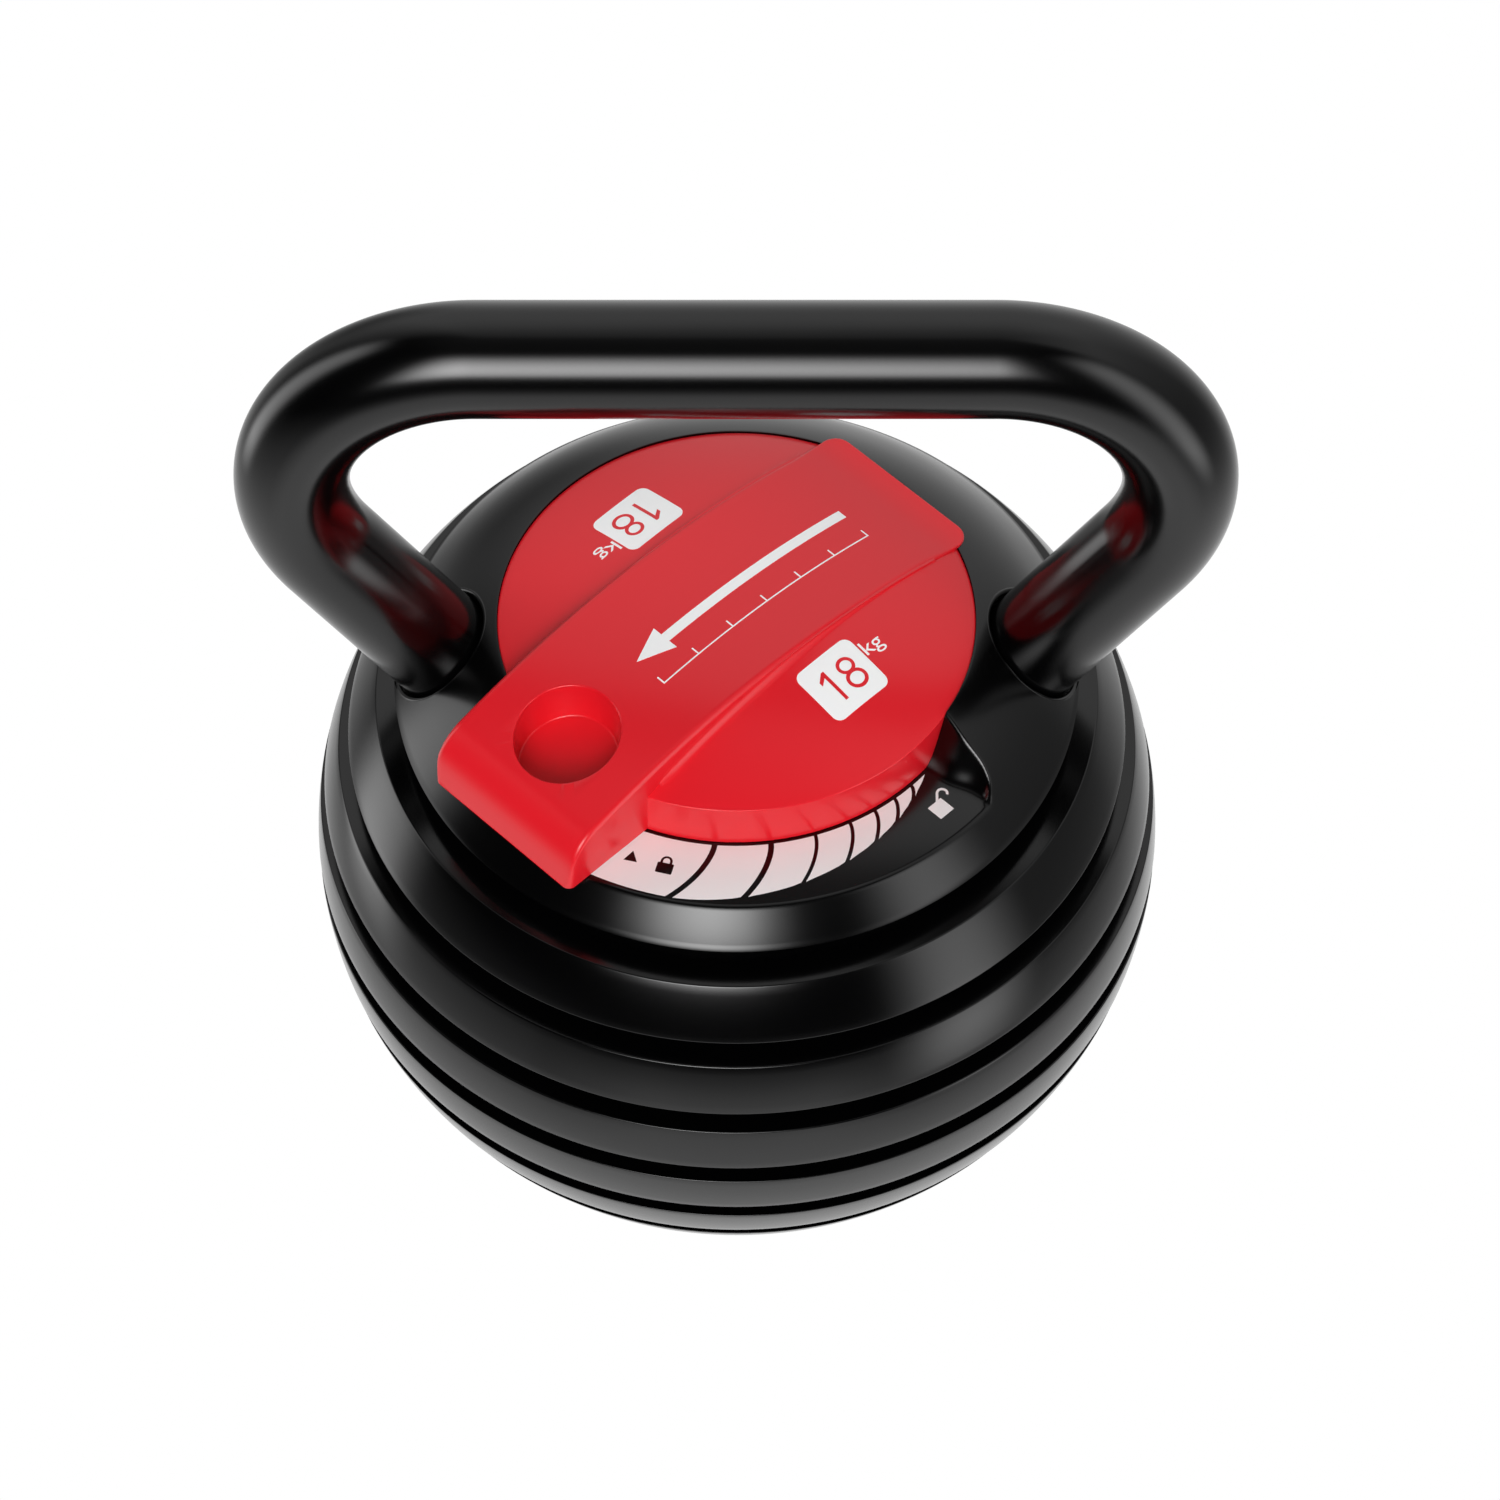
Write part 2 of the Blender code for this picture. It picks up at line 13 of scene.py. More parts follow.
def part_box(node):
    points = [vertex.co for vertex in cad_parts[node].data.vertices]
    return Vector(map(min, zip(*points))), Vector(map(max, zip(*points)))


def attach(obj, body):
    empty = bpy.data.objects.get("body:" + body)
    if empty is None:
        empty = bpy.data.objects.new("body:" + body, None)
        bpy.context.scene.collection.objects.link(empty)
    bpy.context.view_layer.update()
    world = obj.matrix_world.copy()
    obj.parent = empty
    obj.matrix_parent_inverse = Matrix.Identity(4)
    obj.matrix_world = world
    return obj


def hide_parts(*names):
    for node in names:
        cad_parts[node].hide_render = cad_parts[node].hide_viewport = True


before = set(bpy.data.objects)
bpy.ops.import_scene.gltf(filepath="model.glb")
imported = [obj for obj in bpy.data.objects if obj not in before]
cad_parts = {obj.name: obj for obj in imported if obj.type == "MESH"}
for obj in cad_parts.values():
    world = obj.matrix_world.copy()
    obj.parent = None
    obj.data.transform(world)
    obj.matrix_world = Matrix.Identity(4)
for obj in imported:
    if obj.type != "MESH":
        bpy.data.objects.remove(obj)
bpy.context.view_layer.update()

MM = 0.001
U = 1.1                                  # the object's own module: its ball is 200 modules across


def low_of(node):
    """Lowest corner of a CAD node in millimetres."""
    return [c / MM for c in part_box(node)[0]]


def high_of(node):
    """Highest corner of a CAD node in millimetres."""
    return [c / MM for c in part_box(node)[1]]


# Sizes read from the frame
PLATES = 6
FOOT_H = low_of("plate_6")[2]
PITCH = (low_of("plate_1")[2] - FOOT_H) / (PLATES - 1)
CAP_Z = low_of("top_cap")[2]
BALL_Z = CAP_Z - 57.6 * U                # centre of the ball
GRIP_TOP = high_of("handle_tube")[2]
TUBE_R = (high_of("handle_tube")[1] - low_of("handle_tube")[1]) / 2
DECK_Z = high_of("scale_label")[2]       # floor of the pocket and of the dial recess

# Ball and plates
BALL_R = 110.2
BALL_SLIM = 2.4                          # how far the outline draws in at the cap's underside
SLIM_FROM = -20.2                        # height from the ball's centre where it is full
FACE_H = 14.5                            # of a plate's outer face
TOP_FACE_H = 13.8                        # the top plate's face is a little lower
STACK_GAP = 0.3                          # between a plate's neck and the next plate
RIM_W = 17.0
WEB_T = 4.0
HUB_R = 36.0
HUB_BORE = 17.0
LEDGE_BORE = 10.0                        # the lock's lugs reach under this ledge
LEDGE_T = 6.6
NECK_W = 6.0
GROOVE = 11.0                            # depth of the groove outside the neck
FOOT_HALF_W = 4.0

# Cap
CAP_R = 87.3
DOME_R = 107.9
SHOULDER_X = 79.2                        # radius where the dome bends over into its flatter top
SHOULDER_R = 55.0
SKIRT_IN = 80.6
DECK_UNDER = CAP_Z + 4.3                 # underside of the cap's deck
BUSH_R = 12.4
RECESS_R = 60.4
RECESS_EDGE = 0.08                       # rounding of the recess's rim
FLOOR_END = 79.8                         # radius from which the pocket's columns run straight out
RIGHT_WALL = 53.0                        # azimuth of the pocket's right wall
RIGHT_FLARE = 1.2                        # degrees that it opens over FLARE_W from FLARE_FROM on
FLARE_FROM = 66.0
FLARE_W = 8.0
CORNER_FROM = 75.6                       # the pocket's front right corner rounds off from here
CORNER_R = 3.9
CORNER_SHARE = 0.75                      # how much of the quarter round it uses
LEFT_WALL_V = 25.6                       # distance of the left wall from the pointer's middle line
WALL_LEAN = {"right": 26.5, "left": 3.0}
WALL_SOFT = {"right": 5.0, "left": 0.8}  # softness of the walls' feet
FOOT_REACH = 4.0                         # a wall's columns start this far inside the pocket
RIGHT_REACH = 8.75                       # and end this far outside it
LEFT_REACH = 4.5
RIM_EDGE = 1.0                           # softness of the pocket's side edges
FRONT_EDGE = 0.35                        # softness of its front edge

# Handle
GRIP_HALF = 62.1
BEND_R = 46.6
LEG_LEAN = 33.0
LEG_ROOT_Z = BALL_Z + 76.1               # a leg's reference point on its axis, about at the dome
LEG_FLAT_X = 63.0                        # the legs' feet are flattened on the inside up to here
LEG_FLAT_TOP = BALL_Z + 84.0
SOCKET_R = TUBE_R + 0.55
SOCKET_LIP = 1.3
SOCKET_DEPTH = 5.0

# Dial, in the bar's own axes: u runs along the bar away from the pointer's end, v runs across it,
# and heights start at the ball's centre
POINTER = -45.0
DIAL_R = 60.3
DIAL_DOME_TOP = 97.35
DIAL_DOME_R = 158.4
DIAL_GAP = 0.25                          # under the disc
BAR_HALF = 24.2
BAR_NEAR = -82.5
BAR_FAR = 60.4
BAR_NEAR_R = 2.2                         # of its corners in plan
BAR_FAR_R = 4.6
BAR_PEAK = 98.0
BAR_PEAK_U = -13.2
BAR_BEND = 418.0                         # twice the radius of its arched top
BAR_FAR_TOP = 86.75                      # the arch levels off here
BAR_FAR_BOTTOM = 86.35                   # just over the dome
BAR_GAP = 0.45                           # between the pointer and the pocket's floor
INSIDE_DISC = 6.0                        # height over the floor where the bar and the disc merge
BAR_EDGE = 1.5                           # rounding of the top edges
BAR_EDGE_CUT = 1.15                      # how much of that goes at the far end
NOSE_R = 11.8                            # the pointer's top rolls over into its end
NOSE_FROM = -73.0                        # where along the bar the roll starts
NOSE_SLOPE = 5.9                         # of the end face
NOSE_FOOT = (-82.6, 72.9)                # a point on the end face
FILLET_FROM = -51.0
FILLET_LENGTH = 98.0
FILLET_R = 2.0

# Prints: thin white ink, seen a little above the part and sunk a little into it
PRINT_T = 0.05
PRINT_SUNK = 0.25
PRINT_REACH = (BALL_Z + 70.0, BALL_Z + 110.0)
SCALE_IN = 61.3
SCALE_OUT = 78.5
SCALE_START = -44.0                      # hidden under the pointer
SCALE_BEND = -12.0                       # the outer edge closes in from here
SCALE_TIP = 50.5
SCALE_MARKS = (-5.0, 8.1, 18.7, 27.5, 34.3, 40.1, 45.5)
MARK_SWEEP = -7.4                        # how far a gap turns by the outer edge
WEIGHT_AT = (0.95, 36.3)
WEIGHT_BOX = (18.6, 16.1)
WEIGHT_CORNER = 2.3
UNIT_SIZE = (6.0, 5.2)
BAR_MARK_U = (-33.5, 39.5)               # where the arrow starts and ends
RULE_V = -8.2


# ---------------------------------------------------------------- materials

def principled(name, color, roughness, metallic=0.0):
    """New material with its Principled shader's constant sockets set."""
    made = bpy.data.materials.new(name)
    made.use_nodes = True
    shader = made.node_tree.nodes["Principled BSDF"]
    shader.inputs["Base Color"].default_value = (*color, 1.0)
    shader.inputs["Roughness"].default_value = roughness
    shader.inputs["Metallic"].default_value = metallic
    shader.inputs["IOR"].default_value = 1.5
    return made, shader


def noise(tree, scale, detail, roughness):
    """Noise texture in object space, scale in features per metre."""
    place = tree.nodes.new("ShaderNodeTexCoord")
    made = tree.nodes.new("ShaderNodeTexNoise")
    made.inputs["Scale"].default_value = scale
    made.inputs["Detail"].default_value = detail
    made.inputs["Roughness"].default_value = roughness
    tree.links.new(place.outputs["Object"], made.inputs["Vector"])
    return made.outputs["Fac"]


def ramp(tree, value, low, high):
    """Map a 0 to 1 value onto a range."""
    made = tree.nodes.new("ShaderNodeMapRange")
    made.interpolation_type = "SMOOTHSTEP"
    made.inputs["From Min"].default_value = 0.15
    made.inputs["From Max"].default_value = 0.85
    made.inputs["To Min"].default_value = low
    made.inputs["To Max"].default_value = high
    tree.links.new(value, made.inputs["Value"])
    return made.outputs["Result"]


def tint(tree, value, dark, light):
    """Colour between two tones."""
    made = tree.nodes.new("ShaderNodeMix")
    made.data_type = "RGBA"
    made.inputs["A"].default_value = (*dark, 1.0)
    made.inputs["B"].default_value = (*light, 1.0)
    tree.links.new(value, made.inputs["Factor"])
    return made.outputs["Result"]


def bump(tree, shader, height, distance):
    """Feed a height into the shader's normal."""
    made = tree.nodes.new("ShaderNodeBump")
    made.inputs["Distance"].default_value = distance * MM
    made.inputs["Strength"].default_value = 1.0
    tree.links.new(height, made.inputs["Height"])
    tree.links.new(made.outputs["Normal"], shader.inputs["Normal"])


def coated(name, color, rough, spread, grain, depth, variation=0.12):
    """Painted or moulded surface with a fine grain in height, gloss and colour."""
    made, shader = principled(name, color, rough)
    tree = made.node_tree
    fine = noise(tree, grain, 2.0, 0.6)
    tree.links.new(ramp(tree, fine, rough - spread, rough + spread), shader.inputs["Roughness"])
    dark = [c * (1 - variation) for c in color]
    light = [c * (1 + variation) for c in color]
    tree.links.new(tint(tree, fine, dark, light), shader.inputs["Base Color"])
    bump(tree, shader, fine, depth)
    return made


def turned_steel(name, color, rough):
    """Machined steel with fine rings about the shaft's axis."""
    made, shader = principled(name, color, rough, metallic=1.0)
    tree = made.node_tree
    place = tree.nodes.new("ShaderNodeTexCoord")
    rings = tree.nodes.new("ShaderNodeTexWave")
    rings.wave_type = "RINGS"
    rings.rings_direction = "Z"
    rings.inputs["Scale"].default_value = 900.0
    rings.inputs["Distortion"].default_value = 1.5
    tree.links.new(place.outputs["Object"], rings.inputs["Vector"])
    tree.links.new(ramp(tree, rings.outputs["Fac"], rough - 0.06, rough + 0.08), shader.inputs["Roughness"])
    bump(tree, shader, rings.outputs["Fac"], 0.01)
    return made


BLACK_CAP = coated("cap_satin_black", (0.0007, 0.0007, 0.0008), 0.185, 0.010, 2600.0, 0.0015)
BLACK_IRON = coated("plate_satin_black", (0.0006, 0.0006, 0.0007), 0.17, 0.012, 2200.0, 0.002)
BLACK_TUBE = coated("tube_satin_black", (0.0007, 0.0007, 0.0008), 0.18, 0.010, 2400.0, 0.0015)
RED = coated("dial_satin_red", (0.72, 0.0095, 0.0180), 0.28, 0.006, 2400.0, 0.0015, 0.002)
WHITE = coated("white_print", (0.94, 0.94, 0.94), 0.35, 0.02, 3000.0, 0.001, 0.002)
PAPER = coated("label_white", (0.84, 0.84, 0.84), 0.35, 0.02, 3000.0, 0.001, 0.002)
RUBBER = coated("foot_rubber", (0.010, 0.010, 0.010), 0.75, 0.06, 1500.0, 0.03, 0.2)
STEEL = turned_steel("machined_steel", (0.55, 0.55, 0.56), 0.3)
BRONZE = turned_steel("sintered_bronze", (0.55, 0.38, 0.16), 0.42)


# ---------------------------------------------------------------- mesh helpers

def helper(name, bm):
    """Object in metres from a bmesh in millimetres: a tool for a Boolean, or the start of a piece."""
    bmesh.ops.scale(bm, vec=(MM, MM, MM), verts=bm.verts)
    mesh = bpy.data.meshes.new(name)
    bm.to_mesh(mesh)
    bm.free()
    made = bpy.data.objects.new(name, mesh)
    bpy.context.scene.collection.objects.link(made)
    return made


def publish(name, bm, look, body, slot, *nodes):
    """Turn a bmesh in millimetres into a piece that rides on a body and may replace CAD nodes."""
    made = helper(name, bm)
    made.data.shade_smooth()
    made.data.materials.append(look)
    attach(made, body)
    if nodes:
        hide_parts(*nodes)
    return made


def stitch(bm, rows, closed=False):
    """Quads between neighbouring rows of verts, and between the last and the first if closed."""
    pairs = list(zip(rows, rows[1:]))
    if closed:
        pairs.append((rows[-1], rows[0]))
    for low, high in pairs:
        for k in range(len(low)):
            j = (k + 1) % len(low)
            bm.faces.new((low[k], low[j], high[j], high[k]))


def face_out(bm):
    """Make all normals point out."""
    bmesh.ops.recalc_face_normals(bm, faces=bm.faces)
    return bm


def ring_solid(rows):
    """Closed bmesh of quads over rows of points, where the last row joins the first."""
    bm = bmesh.new()
    stitch(bm, [[bm.verts.new(p) for p in row] for row in rows], closed=True)
    return face_out(bm)


def capped_solid(rows):
    """Closed bmesh over rows of points, with a face on the first row and on the last."""
    bm = bmesh.new()
    table = [[bm.verts.new(p) for p in row] for row in rows]
    bm.faces.new(table[0])
    bm.faces.new(table[-1])
    stitch(bm, table)
    return face_out(bm)


def turned(profile, segments):
    """Rows for a closed (radius, height) profile turned about Z."""
    return [[(r * cos(2 * pi * k / segments), r * sin(2 * pi * k / segments), z)
             for k in range(segments)] for r, z in profile]


def polar(radius, angle):
    """Point at a polar angle from +X, in degrees."""
    return radius * cos(radians(angle)), radius * sin(radians(angle))


def ahead(radius, azimuth):
    """Point at an azimuth from the front."""
    return polar(radius, azimuth - 90)


def soften(points, radii, steps=4):
    """Round the corners of a closed outline: each corner becomes a curve of about that radius."""
    made = []
    count = len(points)
    for i, p in enumerate(points):
        here = Vector(p)
        radius = radii[i] if isinstance(radii, (list, tuple)) else radii
        before = Vector(points[i - 1]) - here
        after = Vector(points[(i + 1) % count]) - here
        reach = min(radius, before.length * 0.45, after.length * 0.45)
        if reach <= 0:
            made.append(tuple(here))
            continue
        a = here + before.normalized() * reach
        b = here + after.normalized() * reach
        for k in range(steps + 1):
            t = k / steps
            made.append(tuple(a * (1 - t) ** 2 + here * 2 * t * (1 - t) + b * t * t))
    return made


def smooth_min(a, b, k):
    """Smaller of two values with a soft changeover of width k."""
    gap = max(k - abs(a - b), 0.0) / k
    return min(a, b) - gap * gap * k / 4


def smooth_max(a, b, k):
    """Larger of two values with a soft changeover of width k."""
    return -smooth_min(-a, -b, k)


def carve(target, operation, *tools):
    """Apply Booleans with these tools and remove the tools."""
    for tool in tools:
        cut = target.modifiers.new("cut", "BOOLEAN")
        cut.operation = operation
        cut.solver = "EXACT"
        cut.object = tool
        graph = bpy.context.evaluated_depsgraph_get()
        mesh = bpy.data.meshes.new_from_object(target.evaluated_get(graph))
        target.modifiers.remove(cut)
        old = target.data
        target.data = mesh
        bpy.data.meshes.remove(old)
        bpy.data.objects.remove(tool, do_unlink=True)


def close_slits(target):
    """Fill the tiny triangular holes that a Boolean can leave."""
    bm = bmesh.new()
    bm.from_mesh(target.data)
    bmesh.ops.holes_fill(bm, edges=bm.edges, sides=4)
    bm.to_mesh(target.data)
    bm.free()


def polish(target, angle):
    """Smooth shading with sharp edges above an angle."""
    target.data.shade_smooth()
    target.data.set_sharp_from_angle(angle=radians(angle))


def prisms(outlines, z0, z1):
    """bmesh of several outlines pulled up from z0 to z1, each its own closed solid."""
    bm = bmesh.new()
    for outline in outlines:
        table = [[bm.verts.new((x, y, z)) for x, y in outline] for z in (z0, z1)]
        stitch(bm, table)
        bmesh.ops.triangulate(bm, faces=[bm.faces.new(ring) for ring in table])
    return face_out(bm)


def shell(height, start, end, above, below, step=1.0):
    """Closed sheet that follows a surface between two corners, from below it to above it."""
    counts = [max(2, round((b - a) / step)) for a, b in zip(start, end)]
    us, vs = [[a + (b - a) * i / n for i in range(n + 1)] for a, b, n in zip(start, end, counts)]
    bm = bmesh.new()
    table = []
    for u in us:
        upper = [bm.verts.new((u, v, height(u, v) + above)) for v in vs]
        lower = [bm.verts.new((u, v, height(u, v) - below)) for v in reversed(vs)]
        table.append(upper + lower)
    stitch(bm, table)
    for row in (table[0], table[-1]):
        last = len(row) - 1
        for k in range(len(vs) - 1):
            bm.faces.new((row[k], row[k + 1], row[last - k - 1], row[last - k]))
    return face_out(bm)


def glyphs(text, centre, size, turned_round):
    """Prisms of a text's outlines, fitted into a box, through the height of the dial's top."""
    curve = bpy.data.curves.new("glyphs", "FONT")
    curve.body = text
    curve.extrude = 1.0
    source = bpy.data.objects.new("glyphs", curve)
    bpy.context.scene.collection.objects.link(source)
    graph = bpy.context.evaluated_depsgraph_get()
    mesh = bpy.data.meshes.new_from_object(source.evaluated_get(graph))
    bm = bmesh.new()
    bm.from_mesh(mesh)
    bmesh.ops.remove_doubles(bm, verts=bm.verts, dist=1e-4)
    bpy.data.objects.remove(source, do_unlink=True)
    low = [min(v.co[i] for v in bm.verts) for i in range(2)]
    high = [max(v.co[i] for v in bm.verts) for i in range(2)]
    sign = -1 if turned_round else 1
    for v in bm.verts:
        x, y = [(v.co[i] - (low[i] + high[i]) / 2) * size[i] / (high[i] - low[i]) * sign for i in range(2)]
        v.co = (centre[0] + x, centre[1] + y, PRINT_REACH[0] if v.co.z < 0 else PRINT_REACH[1])
    return face_out(bm)


# ---------------------------------------------------------------- plates

def ball_radius(z):
    """Radius of the ball's outline at a height above the floor."""
    up = z - BALL_Z
    reach = BALL_R - BALL_SLIM * ((up - SLIM_FROM) / (CAP_Z - BALL_Z - SLIM_FROM)) ** 2
    return sqrt(reach * reach - up * up)


def plate_floor(level):
    """Height of a plate's underside; level 1 is the top plate."""
    return FOOT_H + (PLATES - level) * PITCH


def plate_low_radius(level):
    """Radius of a plate's lower edge; level 0 is the cap."""
    return ball_radius(plate_floor(level)) if level else CAP_R


def plate_profile(level):
    """Section of a plate with rounded rims, drafted web and hub fillets."""
    floor = plate_floor(level)
    top = floor + (TOP_FACE_H if level == 1 else FACE_H)
    stack = floor + PITCH - STACK_GAP
    neck = min(plate_low_radius(level - 1), ball_radius(top)) - GROOVE
    rim_in = plate_low_radius(level) - RIM_W
    draft = 2
    corners = [(plate_low_radius(level), floor)]
    corners += [(ball_radius(z), z) for z in (floor + (top - floor) * i / 6 for i in range(1, 6))]
    corners += [(ball_radius(top), top), (neck + 1.2, top), (neck, stack), (neck - NECK_W, stack),
                (neck - NECK_W - 1, top), (HUB_R + draft, top), (HUB_R, stack), (LEDGE_BORE, stack),
                (LEDGE_BORE, stack - LEDGE_T), (HUB_BORE, stack - LEDGE_T), (HUB_BORE, floor), (HUB_R, floor),
                (HUB_R + draft, top - WEB_T), (rim_in - draft, top - WEB_T), (rim_in, floor)]
    rounds = [0.45] + [0.0] * 5 + [0.35, 2.0, 0.8, 0.8, 2.0, 2.5, 0.8, 0.4, 0.4, 0.3, 0.5, 0.8, 3.0, 3.5, 0.8]
    return soften(corners, rounds)


def make_plates():
    """Six cast plates."""
    for level in range(1, PLATES + 1):
        bm = ring_solid(turned(plate_profile(level), 192))
        polish(publish("weight_%d" % level, bm, BLACK_IRON, "housing", "plate_iron", "plate_%d" % level), 50)


def make_foot():
    """Rubber ring with rounded edges and two fine grooves where it rests."""
    inner, outer = [plate_low_radius(PLATES) - RIM_W / 2 + half for half in (-FOOT_HALF_W, FOOT_HALF_W)]
    top = high_of("foot_ring")[2]
    third = (outer - inner) / 3
    corners = [(outer, top), (inner, top), (inner, 0.0)]
    for i in (1, 2):
        middle = inner + third * i
        corners += [(middle - 0.5, 0.0), (middle - 0.3, 0.5), (middle + 0.3, 0.5), (middle + 0.5, 0.0)]
    corners.append((outer, 0.0))
    rounds = [0.4, 0.4, 0.6] + [0.1] * 8 + [0.6]
    bm = ring_solid(turned(soften(corners, rounds), 128))
    polish(publish("foot_band", bm, RUBBER, "housing", "foot_rubber", "foot_ring"), 50)


# ---------------------------------------------------------------- cap

def dome_height(r):
    """Height of the cap's outer surface above the floor."""
    if r >= SHOULDER_X:
        return BALL_Z + sqrt(max(DOME_R ** 2 - r * r, 0.0))
    shrink = 1 - SHOULDER_R / DOME_R
    centre_r = SHOULDER_X * shrink
    centre_z = sqrt(DOME_R ** 2 - SHOULDER_X ** 2) * shrink
    return BALL_Z + centre_z + sqrt(SHOULDER_R ** 2 - (r - centre_r) ** 2)


def left_wall(r):
    """Azimuth of the pocket's left wall at a radius: a line beside the pointer."""
    return POINTER - degrees(asin(LEFT_WALL_V / r))


def right_wall(r):
    """Azimuth of the foot of the pocket's right wall, which rounds back at the front."""
    share = min(max((r - FLARE_FROM) / FLARE_W, 0.0), 1.0)
    past = min(max((r - CORNER_FROM) / CORNER_R, 0.0), CORNER_SHARE)
    back = CORNER_R * (1 - sqrt(1 - past * past))
    return RIGHT_WALL + RIGHT_FLARE * share * share * (3 - 2 * share) - degrees(back / r)


def cap_columns():
    """Each column is (side, value): a distance past a wall, or a share of the way between walls."""
    near = [-FOOT_REACH, -2.6, -1.7, -1.1, -0.7, -0.4, -0.2, 0.0]
    rise = [RIGHT_REACH * i / 25 for i in range(1, 26)]
    left_rise = [0.1, 0.2, 0.3, 0.4, 0.5, 0.65, 0.8, 1.0, 1.3, 1.7, 2.3, 3.2, LEFT_REACH]
    columns = [("floor", i / 60) for i in range(1, 60)]
    columns += [("right", s) for s in near + rise]
    columns += [("back", i / 150) for i in range(1, 150)]
    columns += [("left", s) for s in reversed(near + left_rise)]
    return columns


def column_azimuth(kind, value, r):
    """Azimuth of a column at a radius."""
    hold = min(max(r, RECESS_R), FLOOR_END)
    per_mm = degrees(1 / hold)
    right = right_wall(hold)
    left = left_wall(hold)
    if kind == "right":
        return right + value * per_mm
    if kind == "left":
        return left - value * per_mm
    if kind == "floor":
        start, end = left + FOOT_REACH * per_mm, right - FOOT_REACH * per_mm
        return start + (end - start) * value
    start, end = right + RIGHT_REACH * per_mm, left + 360 - LEFT_REACH * per_mm
    return start + (end - start) * value


def cap_height(kind, value, r):
    """Height of the cap's top: dome outside the pocket, flat floor inside, walls between."""
    dome = dome_height(r)
    if kind == "back":
        return dome
    if kind == "floor":
        return smooth_min(dome, DECK_Z, FRONT_EDGE)
    wall = DECK_Z + value / tan(radians(WALL_LEAN[kind]))
    pocket = smooth_max(DECK_Z, wall, WALL_SOFT[kind])
    share = min(max((value + FOOT_REACH) / FOOT_REACH, 0.0), 1.0)
    return smooth_min(dome, pocket, FRONT_EDGE + (RIM_EDGE - FRONT_EDGE) * share)


def make_cap():
    """Domed cap as one closed skin, with the pocket's walls following its columns."""
    columns = cap_columns()
    radii = [RECESS_R + RECESS_EDGE * x for x in (0.0, 0.06, 0.2, 0.42, 0.7, 1.0)]
    drops = [RECESS_EDGE * x for x in (1.0, 0.66, 0.4, 0.18, 0.05, 0.0)]
    steps = 44
    first = radii[-1]
    last = sqrt(DOME_R ** 2 - (CAP_Z + 1.0 - BALL_Z) ** 2)
    radii += [first + (last - first) * i / steps for i in range(1, steps + 1)]
    drops += [0.0] * steps
    rows = []
    for r, drop in zip(radii, drops):
        row = []
        for kind, value in columns:
            z = cap_height(kind, value, r)
            share = min(max((z - DECK_Z) / 4.0, 0.0), 1.0)
            x, y = ahead(r, column_azimuth(kind, value, r))
            row.append((x, y, z - drop * share))
        rows.append(row)
    rim = [(CAP_R - 0.05, CAP_Z + 0.55), (CAP_R - 0.25, CAP_Z + 0.15), (CAP_R - 0.7, CAP_Z),
           (SKIRT_IN + 0.6, CAP_Z), (SKIRT_IN, CAP_Z + 0.6), (SKIRT_IN, DECK_UNDER), (BUSH_R, DECK_UNDER),
           (BUSH_R, DECK_Z - 0.3), (BUSH_R + 0.3, DECK_Z), (RECESS_R - 1.2, DECK_Z),
           (RECESS_R - 0.3, DECK_Z - 0.05)]
    for r, z in rim:
        rows.append([(*ahead(r, column_azimuth(kind, value, min(r, RECESS_R + 26))), z)
                     for kind, value in columns])
    made = publish("cap_shell", ring_solid(rows), BLACK_CAP, "housing", "cap_plastic", "top_cap")
    carve(made, "DIFFERENCE", *[socket_cutter(side) for side in (-1, 1)])
    close_slits(made)
    polish(made, 38)


# ---------------------------------------------------------------- handle

def leg_frame(side):
    """Reference point on a leg's axis, direction up the leg, and the two directions across it."""
    lean = radians(LEG_LEAN)
    up = Vector((sin(lean) * side, 0.0, cos(lean)))
    bend_end = Vector(((GRIP_HALF + BEND_R * cos(lean)) * side, 0.0,
                       GRIP_TOP - TUBE_R - BEND_R - BEND_R * sin(lean)))
    down = (bend_end.z - LEG_ROOT_Z) / up.z
    across = Vector((up.z * side, 0.0, -up.x * side))
    return bend_end - up * down, up, across, Vector((0.0, 1.0, 0.0))


def on_dome(side, radius, turn):
    """Where a line along the leg's surface at some radius meets the dome."""
    start, up, across, side_way = leg_frame(side)
    base = start + (across * cos(turn) + side_way * sin(turn)) * radius
    low, high = -40.0, 40.0
    for _ in range(40):
        middle = (low + high) / 2
        p = base + up * middle
        if p.z > dome_height(hypot(p.x, p.y)):
            high = middle
        else:
            low = middle
    return base + up * low


def socket_cutter(side):
    """Cutter for a leg's socket, as wide as the lip's outer edge."""
    start, up, across, side_way = leg_frame(side)
    segments = 96
    radius = SOCKET_R + SOCKET_LIP
    rows = []
    for reach in (-30.0, -18.0, -10.0, -6.0, -4.0, -2.0, 0.0, 40.0):  # finer rows where the cut bends
        row = []
        for k in range(segments):
            turn = 2 * pi * k / segments
            p = start + (across * cos(turn) + side_way * sin(turn)) * radius + up * reach
            p.x = side * max(p.x * side, LEG_FLAT_X - 1.0)
            row.append(p)
        rows.append(row)
    return helper("socket_tool", capped_solid(rows))


